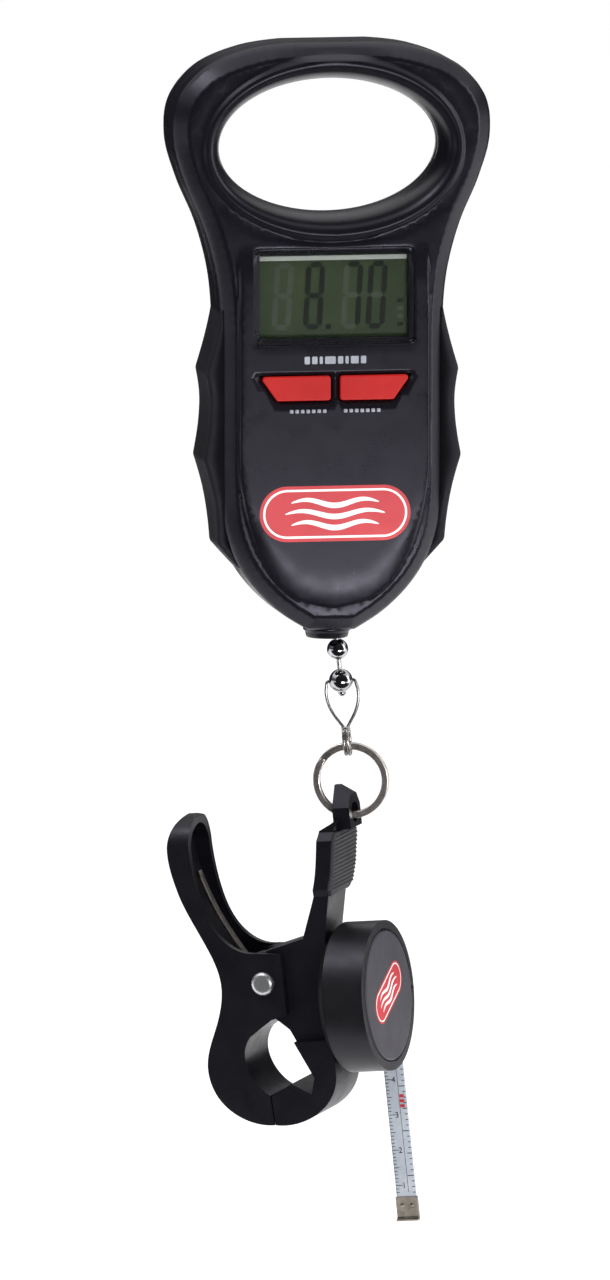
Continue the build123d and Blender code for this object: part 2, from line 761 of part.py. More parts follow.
# ---------------------------------------------------------------- chain
with BuildPart() as pull_rod:
    with BuildSketch(face_plane(1.2)):
        with Locations((0, STUD_Z)):
            Circle(ROD_EYE)
            Circle(STUD_RADIUS + PIN_GAP, mode=Mode.SUBTRACT)
    extrude(amount=-2.4)
    with BuildSketch(chain_level(ROD_EYE - 0.8)):
        Circle(ROD_RADIUS)
    extrude(amount=-(BEAD_1[0] - BEAD_1[1] - ROD_EYE + 1.4))

pull_rod.part.label = "pull_rod"
export_step(pull_rod.part, "parts/pull_rod.step")

with BuildPart() as bead_top:
    with BuildSketch(chain_face(BEAD_1[0])) as bead_section:
        Circle(BEAD_1[1])
        Rectangle(20, 20, align=(Align.MAX, Align.CENTER), mode=Mode.SUBTRACT)
        Circle(BEAD_HOLE + 0.3, mode=Mode.SUBTRACT)
        with Locations((0, -BEAD_1[1])):
            Rectangle(2 * (NECK + LINK_PLAY), 4, mode=Mode.SUBTRACT)
        with Locations((0, BEAD_1[1])):
            Rectangle(2 * ROD_RADIUS, 1.6, mode=Mode.SUBTRACT)
    revolve(axis=Axis(CHAIN.from_local_coords((0, 0, -BEAD_1[0])), CHAIN.z_dir))

bead_top.part.label = "bead_top"
export_step(bead_top.part, "parts/bead_top.step")

with BuildPart() as bead_link:
    with BuildSketch(chain_face(BEAD_1[0])):
        Circle(BEAD_HOLE)
        with Locations((0, -(BEAD_2[0] - BEAD_1[0]))):
            Circle(BEAD_HOLE)
        with Locations((0, -(BEAD_2[0] - BEAD_1[0]) / 2)):
            Rectangle(2 * NECK, BEAD_2[0] - BEAD_1[0])
        Rectangle(20, 60, align=(Align.MAX, Align.CENTER), mode=Mode.SUBTRACT)
    revolve(axis=Axis(CHAIN.from_local_coords((0, 0, -BEAD_1[0])), CHAIN.z_dir))

bead_link.part.label = "bead_link"
export_step(bead_link.part, "parts/bead_link.step")

with BuildPart() as bead_bottom:
    with BuildSketch(chain_face(BEAD_2[0])):
        Circle(BEAD_2[1])
        with Locations((0, -BEAD_2[1])):
            Circle(1.1)
        Rectangle(20, 20, align=(Align.MAX, Align.CENTER), mode=Mode.SUBTRACT)
        Circle(BEAD_HOLE + 0.06, mode=Mode.SUBTRACT)
        with Locations((0, BEAD_2[1])):
            Rectangle(2 * (NECK + 0.05), 4, mode=Mode.SUBTRACT)
    revolve(axis=Axis(CHAIN.from_local_coords((0, 0, -BEAD_2[0])), CHAIN.z_dir))
    # side holes for the ends of the bail
    with BuildSketch(chain_side(BEAD_2[0]).offset(-5)):
        Circle(BAIL_WIRE + PIN_GAP)
    extrude(amount=5 - BEAD_HOLE - 0.9, mode=Mode.SUBTRACT)
    with BuildSketch(chain_side(BEAD_2[0]).offset(5)):
        Circle(BAIL_WIRE + PIN_GAP)
    extrude(amount=-(5 - BEAD_HOLE - 0.9), mode=Mode.SUBTRACT)

bead_bottom.part.label = "bead_bottom"
export_step(bead_bottom.part, "parts/bead_bottom.step")

with BuildPart() as wire_bail:
    # pear-shaped bail: in at each side of the bead, round the shoulders and down to the eye
    bail_drop = BAIL_JOIN - BEAD_2[0]
    with BuildLine(chain_face(BEAD_2[0])) as bail_path:
        FilletPolyline(
            (2.6, 0), (BAIL_HALF, 0), (BAIL_HALF - 0.1, -0.42 * bail_drop),
            (1.0, -0.86 * bail_drop), (0.6, -bail_drop - 0.3), radius=0.9,
        )
    with BuildSketch(Plane(bail_path.line @ 0, z_dir=bail_path.line % 0)):
        Circle(BAIL_WIRE)
    sweep(path=bail_path.line)
    mirror(about=chain_side(BEAD_2[0]))
    # the eye below, turned a quarter so that the ring lies square to it
    eye_mid = (BAIL_JOIN + EYE_FOOT) / 2
    with BuildSketch(chain_side(eye_mid)):
        Ellipse(EYE_HALF, (EYE_FOOT - BAIL_JOIN) / 2)
        Ellipse(EYE_HALF - 2 * BAIL_WIRE, (EYE_FOOT - BAIL_JOIN) / 2 - 2 * BAIL_WIRE, mode=Mode.SUBTRACT)
    extrude(amount=1.0, both=True)

wire_bail.part.label = "wire_bail"
export_step(wire_bail.part, "parts/wire_bail.step")

with BuildPart() as split_ring:
    with BuildSketch(chain_face(RING_CENTRE).offset(-RING_THICK / 2)):
        Circle(RING_OUT)
        Circle(RING_IN, mode=Mode.SUBTRACT)
    extrude(amount=RING_THICK)
    fillet(split_ring.edges(), 0.6)

split_ring.part.label = "split_ring"
export_step(split_ring.part, "parts/split_ring.step")


# ---------------------------------------------------------------- gripper levers
def tape_screw_places():
    """The three screws that hold the drum to the right lever, seen along the axle."""
    return Locations((-5, 8), (5, 8), (0, -9))


def left_lever_face():
    """Left lever seen from the front: handle, cheek and outer jaw."""
    with BuildSketch() as face:
        with BuildLine():
            Spline(*LEVER_OUTER_TOP)
            Spline(*LEVER_OUTER_LOW)
            Line(LEVER_OUTER_LOW[-1], LEVER_MOUTH[0])
            Spline(*LEVER_MOUTH)
            Polyline(LEVER_MOUTH[-1], LEVER_APEX, *LEVER_EDGE, LEVER_INNER[0])
            Spline(*LEVER_INNER)
            Line(LEVER_INNER[-1], LEVER_OUTER_TOP[0])
        make_face()
    return face.sketch


def right_lever_face():
    """Right lever seen from the front: bar, body and inner jaw, without its hub."""
    with BuildSketch() as face:
        with BuildLine():
            Polyline((1.0, 0), (1.0, 8.7), BAR_INNER[0])
            Spline(*BAR_INNER[:-1])
            Polyline(BAR_INNER[-2], BAR_INNER[-1], *BAR_OUTER, JAW_OUTER[0])
            Spline(*JAW_OUTER)
            Polyline(JAW_OUTER[-1], *JAW_TOOTH, (1.0, -8.6), (1.0, 0))
        make_face()
    return face.sketch


def domed_strip(half, level, rise):
    """Long upright strip seen from the side, which closes above the level in a dome."""
    with BuildSketch() as face:
        with Locations((0, level)):
            Ellipse(half, rise)
        with Locations((0, level - 60)):
            Rectangle(2 * half, 120)
    return face.sketch


def handle_channel():
    """The hollow of the left handle: open to the bar, closed at the handle's end."""
    with BuildPart() as channel:
        with BuildSketch(grip_face(CHEEK - HALF)):
            with BuildLine():
                Spline(*CHANNEL_EDGE)
                Polyline(CHANNEL_EDGE[-1], (12, 0), (12, CHANNEL_EDGE[0][1]), CHANNEL_EDGE[0])
            make_face()
        extrude(amount=2 * (HALF - CHEEK))
        with BuildSketch(grip_side(-40)):
            add(domed_strip(*CHANNEL_DOME))
        extrude(amount=80, mode=Mode.INTERSECT)
    return channel.part


def finger_block():
    """The bar's wider stretch under the finger pad, with chamfered ends."""
    low, high = PAD_RANGE
    step = PAD_HALF - CORE_HALF
    with BuildPart() as block:
        with BuildSketch(grip_side(BAR_INNER[0][0])):
            with BuildLine():
                Polyline(
                    (0, low), (CORE_HALF, low), (PAD_HALF, low + step),
                    (PAD_HALF, high - step), (CORE_HALF, high), (0, high),
                )
                mirror(about=Plane.YZ)
            make_face()
        extrude(amount=20)
        with BuildSketch(grip_face(-PAD_HALF - 1)):
            add(right_lever_face())
        extrude(amount=2 * PAD_HALF + 2, mode=Mode.INTERSECT)
    return block.part


with BuildPart() as left_lever:
    with BuildSketch(grip_face(-HALF)):
        add(left_lever_face())
    extrude(amount=2 * HALF)
    with BuildSketch(grip_side(-40)):
        add(domed_strip(*HANDLE_DOME))
    extrude(amount=80, mode=Mode.INTERSECT)
    # channel inside the handle, and room for the hub
    add(handle_channel(), mode=Mode.SUBTRACT)
    with BuildSketch(grip_face(CHEEK - HALF)):
        Circle(HUB + 0.5)
        with Locations((6.6, -7)):
            Rectangle(12, 14)
    extrude(amount=2 * (HALF - CHEEK), mode=Mode.SUBTRACT)
    with BuildSketch(grip_face(-HALF - 1)):
        Circle(PIN_RADIUS + PIN_GAP)
    extrude(amount=2 * HALF + 2, mode=Mode.SUBTRACT)

left_lever.part.label = "left_lever"
export_step(left_lever.part, "parts/left_lever.step")

with BuildPart() as right_lever:
    with BuildSketch(grip_face(-CORE_HALF)):
        add(right_lever_face())
        Circle(HUB)
    extrude(amount=2 * CORE_HALF)
    with BuildSketch(grip_face(-HALF)):
        add(right_lever_face())
        with Locations((0, JAW_TOP - 30)):
            Rectangle(80, 60, mode=Mode.INTERSECT)
    extrude(amount=2 * HALF)
    add(finger_block())
    with BuildSketch(grip_side(LUG[0])):
        with BuildLine():
            Polyline((0, LUG_SHAPE[0][1]), *LUG_SHAPE, (0, LUG_SHAPE[2][1]))
            mirror(about=Plane.YZ)
        make_face()
    extrude(amount=LUG[1] - LUG[0])
    with BuildSketch(grip_face(-HALF)):
        with BuildLine():
            Polyline(*LUG_SLOPE, close=True)
        make_face()
    extrude(amount=2 * HALF, mode=Mode.SUBTRACT)
    with BuildSketch(grip_side(LUG[0] - 8)):
        with Locations((0, LUG_HOLE[1])):
            Circle(LUG_HOLE[0])
    extrude(amount=20, mode=Mode.SUBTRACT)
    # room for the spring's coil and its arms, and the pin's hole
    with BuildSketch(grip_face(-SPRING_ROOM)):
        Circle(HUB - 1.3)
        with Locations((-6, 5)):
            Rectangle(12, 14)
        with Locations((7.5, 5.2)):
            Rectangle(15, 4.4)
    extrude(amount=2 * SPRING_ROOM, mode=Mode.SUBTRACT)
    with BuildSketch(grip_face(-HALF - 1)):
        Circle(PIN_RADIUS + PIN_GAP)
    extrude(amount=2 * HALF + 2, mode=Mode.SUBTRACT)
    # holes for the drum's screws
    with BuildSketch(grip_side(BASE_FROM, DRUM_W)):
        with tape_screw_places():
            Circle(TAPE_SCREW + PIN_GAP)
    extrude(amount=-6, mode=Mode.SUBTRACT)

right_lever.part.label = "right_lever"
export_step(right_lever.part, "parts/right_lever.step")

with BuildPart() as finger_pad:
    outer_line = [(24.73, PAD_RANGE[1] - 0.1), BAR_OUTER[2], BAR_OUTER[3]]
    with BuildSketch(grip_face(-PAD_HALF)):
        with BuildLine():
            Polyline(*[(u + 0.03, w) for u, w in outer_line])
            Polyline(*[(u + PAD_THICK, w) for u, w in outer_line])
            for u, w in (outer_line[0], outer_line[-1]):
                Line((u + 0.03, w), (u + PAD_THICK, w))
        make_face()
    extrude(amount=2 * PAD_HALF)

finger_pad.part.label = "finger_pad"
export_step(finger_pad.part, "parts/finger_pad.step")

with BuildPart() as pivot_pin:
    with BuildSketch(grip_face(-HALF - 0.9)):
        Circle(PIN_RADIUS)
    extrude(amount=2 * HALF + 0.9)
    with BuildSketch(grip_face(HALF)):
        Circle(PIN_HEAD[0])
    extrude(amount=PIN_HEAD[1])
    fillet(pivot_pin.faces().sort_by(Axis(PIN_CENTRE, GRIP.y_dir))[0].edges(), PIN_HEAD[1] - 0.1)

pivot_pin.part.label = "pivot_pin"
export_step(pivot_pin.part, "parts/pivot_pin.step")

with BuildPart() as pivot_washer:
    with BuildSketch(grip_face(-HALF)):
        Circle(3.4)
        Circle(PIN_RADIUS, mode=Mode.SUBTRACT)
    extrude(amount=-0.6)

pivot_washer.part.label = "pivot_washer"
export_step(pivot_washer.part, "parts/pivot_washer.step")

with BuildPart() as jaw_spring:
    with BuildSketch(grip_face(-SPRING_HALF)):
        Circle(SPRING_OUT)
        Circle(SPRING_IN, mode=Mode.SUBTRACT)
    extrude(amount=2 * SPRING_HALF)
    # long arm up the left handle's channel, short arm into the right lever
    with BuildSketch(grip_face(SPRING_HALF - 1.6)):
        with BuildLine():
            Polyline((-3.6, 3.6), (-5.2, 3.2), (-18.6, 31.2), (-17.6, 31.7), close=True)
        make_face()
    extrude(amount=1.6)
    with BuildSketch(grip_face(-SPRING_HALF)):
        with BuildLine():
            Polyline((0, 3.7), (14.5, 4.4), (14.5, 6.0), (0, 5.3), close=True)
        make_face()
    extrude(amount=1.6)

jaw_spring.part.label = "jaw_spring"
export_step(jaw_spring.part, "parts/jaw_spring.step")


# ---------------------------------------------------------------- tape drum
with BuildPart() as tape_base:
    with BuildSketch(grip_side(BASE_FROM, DRUM_W)):
        Circle(BASE_RADIUS)
    with BuildSketch(grip_side(DRUM_FROM - 0.8, DRUM_W)):
        Circle(DRUM_RADIUS - 0.6)
    loft()
    with BuildSketch(grip_side(DRUM_FROM - 0.8, DRUM_W)):
        Circle(DRUM_RADIUS - 0.6)
    extrude(amount=0.8)
    with BuildSketch(grip_side(DRUM_FROM, DRUM_W)):
        Circle(DRUM_RADIUS - DRUM_WALL - 0.05)
        Circle(DRUM_RADIUS - DRUM_WALL - 1.4, mode=Mode.SUBTRACT)
    extrude(amount=0.6)
    # screw holes with sunk heads
    with BuildSketch(grip_side(DRUM_FROM - 4, DRUM_W)):
        with tape_screw_places():
            Circle(TAPE_SCREW + PIN_GAP)
    extrude(amount=6, mode=Mode.SUBTRACT)
    with BuildSketch(grip_side(DRUM_FROM - 0.9, DRUM_W)):
        with tape_screw_places():
            Circle(TAPE_SCREW_HEAD + PIN_GAP)
    extrude(amount=2, mode=Mode.SUBTRACT)

tape_base.part.label = "tape_base"
export_step(tape_base.part, "parts/tape_base.step")

with BuildPart() as tape_case:
    with BuildSketch(grip_side(DRUM_FROM, DRUM_W)):
        Circle(DRUM_RADIUS)
        Circle(DRUM_RADIUS - DRUM_WALL, mode=Mode.SUBTRACT)
    extrude(amount=DRUM_TO - DRUM_FROM)
    with BuildSketch(grip_side(DRUM_TO - 1, DRUM_W)):
        Circle(DRUM_RADIUS)
        Circle(BUTTON_FACE + 0.2, mode=Mode.SUBTRACT)
    extrude(amount=1)
    fillet(tape_case.edges().filter_by(GeomType.CIRCLE).sort_by(Axis(PIN_CENTRE, GRIP.x_dir))[-1], 0.15)
    # slot that the tape runs out of, at the rear of the foot
    with BuildSketch(grip_side(TAPE_U[0] - 0.4)):
        with Locations((TAPE_BACK, DRUM_W - 14)):
            Rectangle(1.6, 10)
    extrude(amount=TAPE_U[1] - TAPE_U[0] + 0.8, mode=Mode.SUBTRACT)

tape_case.part.label = "tape_case"
export_step(tape_case.part, "parts/tape_case.step")

with BuildPart() as tape_button:
    with BuildSketch(grip_side(DRUM_TO - 1.05, DRUM_W)):
        Circle(BUTTON_FLANGE)
    extrude(amount=-0.8)
    with BuildSketch(grip_side(DRUM_TO - 1.2, DRUM_W)):
        Circle(BUTTON_FACE)
    extrude(amount=1.6)
    fillet(tape_button.edges().sort_by(Axis(PIN_CENTRE, GRIP.x_dir))[-1], 0.5)

tape_button.part.label = "tape_button"
export_step(tape_button.part, "parts/tape_button.step")

with BuildPart() as tape_brake:
    with BuildSketch(grip_side(DRUM_TO - 1.85, DRUM_W)):
        Circle(14)
        Circle(9, mode=Mode.SUBTRACT)
    extrude(amount=-0.5)

tape_brake.part.label = "tape_brake"
export_step(tape_brake.part, "parts/tape_brake.step")

with BuildPart() as tape_button_spring:
    with BuildSketch(grip_side(DRUM_TO - 1.9, DRUM_W)):
        Circle(AXLE_RADIUS - 0.1)
        Circle(AXLE_RADIUS - 0.9, mode=Mode.SUBTRACT)
    extrude(amount=-0.95)

tape_button_spring.part.label = "tape_button_spring"
export_step(tape_button_spring.part, "parts/tape_button_spring.step")

with BuildPart() as tape_axle:
    with BuildSketch(grip_side(DRUM_FROM, DRUM_W)):
        Circle(AXLE_RADIUS)
    extrude(amount=8.3)
    with BuildSketch(grip_side(DRUM_FROM, DRUM_W)):
        Circle(3.4)
    extrude(amount=0.8)

tape_axle.part.label = "tape_axle"
export_step(tape_axle.part, "parts/tape_axle.step")

with BuildPart() as tape_reel:
    with BuildSketch(grip_side(TAPE_U[0] - 0.7, DRUM_W)):
        Circle(REEL_OUT)
    extrude(amount=0.6)
    with BuildSketch(grip_side(TAPE_U[0] - 0.1, DRUM_W)):
        Circle(COIL_IN)
        Circle(COIL_IN - 1.1, mode=Mode.SUBTRACT)
    extrude(amount=6.4)
    with BuildSketch(grip_side(TAPE_U[1] + 0.1, DRUM_W)):
        Circle(REEL_OUT)
        Circle(COIL_IN - 1.1, mode=Mode.SUBTRACT)
    extrude(amount=0.5)
    with BuildSketch(grip_side(TAPE_U[0] - 1, DRUM_W)):
        Circle(AXLE_RADIUS + PIN_GAP)
    extrude(amount=9, mode=Mode.SUBTRACT)

tape_reel.part.label = "tape_reel"
export_step(tape_reel.part, "parts/tape_reel.step")

with BuildPart() as tape_coil:
    with BuildSketch(grip_side(TAPE_U[0], DRUM_W)):
        Circle(COIL_OUT)
        Circle(COIL_IN + 0.02, mode=Mode.SUBTRACT)
    extrude(amount=TAPE_U[1] - TAPE_U[0])

tape_coil.part.label = "tape_coil"
export_step(tape_coil.part, "parts/tape_coil.step")

with BuildPart() as tape_spring:
    with BuildSketch(grip_side(TAPE_U[0] + 0.3, DRUM_W)):
        Circle(5.4)
        Circle(2.9, mode=Mode.SUBTRACT)
    extrude(amount=5.4)

tape_spring.part.label = "tape_spring"
export_step(tape_spring.part, "parts/tape_spring.step")

with BuildPart() as tape_blade:
    with BuildSketch(grip_side(TAPE_U[0])):
        with Locations((TAPE_BACK + 0.02, (DRUM_W + TAPE_FOOT) / 2)):
            Rectangle(TAPE_THICK, DRUM_W - TAPE_FOOT)
    extrude(amount=TAPE_U[1] - TAPE_U[0])

tape_blade.part.label = "tape_blade"
export_step(tape_blade.part, "parts/tape_blade.step")

with BuildPart() as tape_hook:
    with BuildSketch(grip_side(TAPE_U[0] - 0.3)):
        with Locations((TAPE_BACK, (TAPE_FOOT + HOOK_FOOT) / 2)):
            Rectangle(0.8, TAPE_FOOT - HOOK_FOOT)
        with Locations((TAPE_BACK - 0.4, HOOK_FOOT + 0.4)):
            Rectangle(1.8, 0.8, align=(Align.MAX, Align.CENTER))
    extrude(amount=TAPE_U[1] - TAPE_U[0] + 0.6)

tape_hook.part.label = "tape_hook"
export_step(tape_hook.part, "parts/tape_hook.step")

with BuildPart() as tape_screws:
    with BuildSketch(grip_side(DRUM_FROM - 0.9, DRUM_W)):
        with tape_screw_places():
            Circle(TAPE_SCREW_HEAD)
    extrude(amount=0.9)
    with BuildSketch(grip_side(DRUM_FROM - 0.9, DRUM_W)):
        with tape_screw_places():
            Circle(TAPE_SCREW)
    extrude(amount=-7)

tape_screws.part.label = "tape_screws"
export_step(tape_screws.part, "parts/tape_screws.step")
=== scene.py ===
import json
from math import cos, hypot, pi, radians, sin

import bmesh
import bpy
import numpy as np
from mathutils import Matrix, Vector
from mathutils.geometry import delaunay_2d_cdt


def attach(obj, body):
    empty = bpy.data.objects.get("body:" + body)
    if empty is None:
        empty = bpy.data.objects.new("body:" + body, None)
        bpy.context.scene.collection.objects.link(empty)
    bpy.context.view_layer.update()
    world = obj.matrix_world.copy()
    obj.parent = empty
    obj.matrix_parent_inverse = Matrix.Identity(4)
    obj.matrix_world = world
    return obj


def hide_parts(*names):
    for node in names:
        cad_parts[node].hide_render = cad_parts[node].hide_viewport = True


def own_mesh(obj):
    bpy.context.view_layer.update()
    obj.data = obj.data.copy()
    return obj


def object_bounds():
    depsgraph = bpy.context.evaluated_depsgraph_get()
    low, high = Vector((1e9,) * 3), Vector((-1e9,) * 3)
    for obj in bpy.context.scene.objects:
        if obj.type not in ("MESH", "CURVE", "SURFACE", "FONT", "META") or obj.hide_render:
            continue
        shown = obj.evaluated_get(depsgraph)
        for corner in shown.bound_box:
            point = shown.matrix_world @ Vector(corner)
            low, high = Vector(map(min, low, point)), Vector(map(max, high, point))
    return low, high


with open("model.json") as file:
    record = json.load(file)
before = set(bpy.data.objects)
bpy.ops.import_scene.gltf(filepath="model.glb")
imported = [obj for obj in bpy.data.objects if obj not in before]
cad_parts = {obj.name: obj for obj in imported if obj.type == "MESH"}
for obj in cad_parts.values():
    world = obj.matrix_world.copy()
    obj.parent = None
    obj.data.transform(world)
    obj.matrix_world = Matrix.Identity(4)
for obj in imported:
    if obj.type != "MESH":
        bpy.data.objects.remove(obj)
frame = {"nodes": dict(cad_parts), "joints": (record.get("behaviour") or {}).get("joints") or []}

CAD_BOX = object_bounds()
MM = 0.001


# ------------------------------------------------------------------ the frame's places
def joint(name):
    """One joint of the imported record."""
    return next(j for j in frame["joints"] if j["name"] == name)


UP = Vector(joint("swivel_spin")["axis"]).normalized()
CHAIN_SIDE = Vector(joint("ring_swing")["axis"]).normalized()
CHAIN_BACK = UP.cross(CHAIN_SIDE)
GRIP_BACK = Vector(joint("jaw_open")["axis"]).normalized()
GRIP_SIDE = GRIP_BACK.cross(UP)
PIN = Vector(joint("jaw_open")["pos_m"])
STUD = Vector(joint("rod_swing")["pos_m"])


def case_place(x, z, depth):
    """Case place in millimetres: across, up, and forward of the parting plane."""
    return Vector((x, -depth, z)) * MM


def chain_place(side, front, drop):
    """Chain place in millimetres: side, front, and how far below the stud."""
    return STUD + (CHAIN_SIDE * side - CHAIN_BACK * front - UP * drop) * MM


def grip_place(u, w, v):
    """Gripper place in millimetres from the pivot pin: u to the tape, w up, v to the front."""
    return PIN + (GRIP_SIDE * u + UP * w - GRIP_BACK * v) * MM


# ------------------------------------------------------------------ lines in a plane
def smooth_line(points, steps=6):
    """Smooth line through the points, with the given number of steps between two of them."""
    points = [np.array(p, float) for p in points]
    spans = [np.linalg.norm(b - a) for a, b in zip(points, points[1:])]
    slopes = [(b - a) / s for a, b, s in zip(points, points[1:], spans)]
    inner = [
        (slopes[i] * spans[i + 1] + slopes[i + 1] * spans[i]) / (spans[i] + spans[i + 1])
        for i in range(len(slopes) - 1)
    ]
    ways = [slopes[0]] + inner + [slopes[-1]]
    if len(points) > 2:
        ways[0] = 1.5 * slopes[0] - 0.5 * ways[1]
        ways[-1] = 1.5 * slopes[-1] - 0.5 * ways[-2]
    line = []
    for i, span in enumerate(spans):
        for k in range(steps):
            t = k / steps
            line.append(
                points[i] * (2 * t**3 - 3 * t**2 + 1) + ways[i] * span * (t**3 - 2 * t**2 + t)
                + points[i + 1] * (3 * t**2 - 2 * t**3) + ways[i + 1] * span * (t**3 - t**2)
            )
    return line + [points[-1]]


def even_line(line, step, closed=False):
    """The same line with points at even distances."""
    line = [np.array(p, float) for p in line]
    if closed:
        line = line + [line[0]]
    runs = np.cumsum([0] + [np.linalg.norm(b - a) for a, b in zip(line, line[1:])])
    count = max(3, int(round(runs[-1] / step)))
    places = np.linspace(0, runs[-1], count + 1)
    line = np.array(line)
    even = np.stack([np.interp(places, runs, line[:, k]) for k in range(line.shape[1])], 1)
    return list(even[:-1] if closed else even)


def inset_loop(loop, amount):
    """A closed clockwise loop moved inward along its normals."""
    loop = np.array(loop)
    way = np.roll(loop, -1, 0) - np.roll(loop, 1, 0)
    way /= np.linalg.norm(way, axis=1)[:, None]
    return list(loop + np.stack([way[:, 1], -way[:, 0]], 1) * amount)


def distance(points, line, closed=True):
    """Distance of each point from a line."""
    points, line = np.array(points, float), np.array(line, float)
    ends = np.roll(line, -1, 0) if closed else line[1:]
    starts = line if closed else line[:-1]
    best = np.full(len(points), 1e9)
    for a, b in zip(starts, ends):
        run = b - a
        t = np.clip(((points - a) @ run) / max(run @ run, 1e-12), 0, 1)
        best = np.minimum(best, np.linalg.norm(points - a - t[:, None] * run, axis=1))
    return best


def inside(points, loop):
    """Whether each point lies in the closed loop."""
    points, loop = np.array(points, float), np.array(loop, float)
    found = np.zeros(len(points), bool)
    for a, b in zip(loop, np.roll(loop, -1, 0)):
        spans = (a[1] > points[:, 1]) != (b[1] > points[:, 1])
        cross = (b[0] - a[0]) * (points[:, 1] - a[1]) / ((b[1] - a[1]) or 1e-12) + a[0]
        found ^= spans & (points[:, 0] < cross)
    return found


def ellipse(half_x, half_z, count, centre=(0, 0)):
    """Closed clockwise ellipse."""
    turns = [-2 * pi * k / count for k in range(count)]
    return [np.array((centre[0] + half_x * cos(t), centre[1] + half_z * sin(t))) for t in turns]


def rounded_box(width, height, radius, centre=(0, 0), steps=4):
    """Closed clockwise rectangle with round corners."""
    loop = []
    corners = ((1, 1), (1, -1), (-1, -1), (-1, 1))
    for number, (sx, sz) in enumerate(corners):
        middle = (centre[0] + sx * (width / 2 - radius), centre[1] + sz * (height / 2 - radius))
        for k in range(steps + 1):
            turn = pi / 2 - (number + k / steps) * pi / 2
            loop.append(np.array((middle[0] + radius * cos(turn), middle[1] + radius * sin(turn))))
    return loop


def blend_step(value, low, high):
    """0 below low, 1 above high and smooth between them."""
    t = np.clip((value - low) / (high - low), 0, 1)
    return t * t * (3 - 2 * t)


# ------------------------------------------------------------------ forms
class Form:
    """Vertices and faces that become one piece."""

    def __init__(self):
        self.verts, self.faces = [], []

    def add(self, verts, faces):
        start = len(self.verts)
        self.verts += [Vector(v) for v in verts]
        self.faces += [tuple(start + i for i in face) for face in faces]
        return self

    def skin(self, rings, closed=True, caps=False):
        """Quads between successive rings of the same length."""
        size = len(rings[0])
        faces = []
        for row in range(len(rings) - 1):
            for k in range(size if closed else size - 1):
                a, b = row * size + k, row * size + (k + 1) % size
                faces.append((a, b, b + size, a + size))
        if caps:
            last = (len(rings) - 1) * size
            faces += [tuple(range(size))[::-1], tuple(last + k for k in range(size))]
        return self.add([p for ring in rings for p in ring], faces)

    def sheet(self, outline, holes, rings, spacing, place, height):
        """Fine triangle sheet in the outline, without the holes; height gives its relief."""
        loops = [list(loop) for loop in [outline, *holes, *rings]]
        points, edges = [], []
        for loop in loops:
            start = len(points)
            points += [tuple(p) for p in loop]
            edges += [(start + k, start + (k + 1) % len(loop)) for k in range(len(loop))]
        low, high = np.min(outline, 0), np.max(outline, 0)
        xs, zs = (np.arange(low[k] + spacing / 2, high[k], spacing) for k in (0, 1))
        grid = np.array([(x + (spacing / 2) * (row % 2), z) for row, z in enumerate(zs) for x in xs])
        grid = grid[inside(grid, outline)]
        for loop in loops:
            grid = grid[distance(grid, loop) > spacing * 0.55]
        points += [tuple(p) for p in grid]
        verts, _, faces, *_ = delaunay_2d_cdt([Vector(p) for p in points], edges, [], 0, 1e-5)
        flat = np.array([tuple(v) for v in verts])
        middles = np.array([flat[list(face)].mean(0) for face in faces])
        keep = inside(middles, outline)
        for hole in holes:
            keep &= ~inside(middles, hole)
        depths = height(flat)
        return self.add(
            [place(*p, d) for p, d in zip(flat, depths)],
            [tuple(face) for face, good in zip(faces, keep) if good],
        )

    def prism(self, outline, place, low, high):
        """Straight block between two depths."""
        return self.skin([[place(*p, depth) for p in outline] for depth in (low, high)], caps=True)

    def lathe(self, profile, place, centre, steps=96, hollow=False):
        """Body of revolution: (radius, depth) points turned about a centre in the plane."""
        if hollow:
            profile = profile + profile[:1]
        turns = [2 * pi * k / steps for k in range(steps)]
        rings = [
            [place(centre[0] + r * cos(t), centre[1] + r * sin(t), depth) for t in turns]
            for r, depth in profile
        ]
        return self.skin(rings, caps=not hollow)

    def tube(self, path, radius, sides=10, closed=False):
        """Round wire along a path of places in metres."""
        path = [Vector(p) for p in path]
        count = len(path)
        aim = Vector((0.3, 0.9, 0.2)).normalized()
        rings = []
        for k, point in enumerate(path):
            ahead = path[(k + 1) % count] if closed else path[min(k + 1, count - 1)]
            behind = path[k - 1] if closed or k else path[0]
            way = (ahead - behind).normalized()
            aim = (aim - way * aim.dot(way)).normalized()
            side = way.cross(aim)
            turns = [2 * pi * s / sides for s in range(sides)]
            rings.append([point + (aim * cos(t) + side * sin(t)) * radius * MM for t in turns])
        if closed:
            rings.append(rings[0])
        return self.skin(rings, caps=not closed)

    def piece(self, name, material, body, slot, *nodes, bevel=0, segments=3, angle=34):
        """The finished object, riding on its body."""
        mesh = bpy.data.meshes.new(name)
        work = bmesh.new()
        verts = [work.verts.new(v) for v in self.verts]
        for face in self.faces:
            work.faces.new([verts[i] for i in face])
        bmesh.ops.remove_doubles(work, verts=work.verts, dist=0.004 * MM)
        bmesh.ops.recalc_face_normals(work, faces=work.faces)
        work.to_mesh(mesh)
        work.free()
        obj = bpy.data.objects.new(name, mesh)
        bpy.context.scene.collection.objects.link(obj)
        finish_object(obj, material, bevel, segments, angle)
        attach(obj, body)
        if nodes:
            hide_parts(*nodes)
        return obj


def finish_object(obj, material, bevel=0, segments=3, angle=34):
    """Material, rounded edges and smooth shading."""
    obj.data.materials.clear()
    obj.data.materials.append(material)
    for face in obj.data.polygons:
        face.use_smooth = True
    if bevel:
        rounding = obj.modifiers.new("rounding", "BEVEL")
        rounding.width = bevel * MM
        rounding.segments = segments
        rounding.limit_method = "ANGLE"
        rounding.angle_limit = radians(angle)
        rounding.use_clamp_overlap = False
        rounding.harden_normals = False
    normals = obj.modifiers.new("normals", "WEIGHTED_NORMAL")
    normals.keep_sharp = True
    normals.weight = 80
    return obj


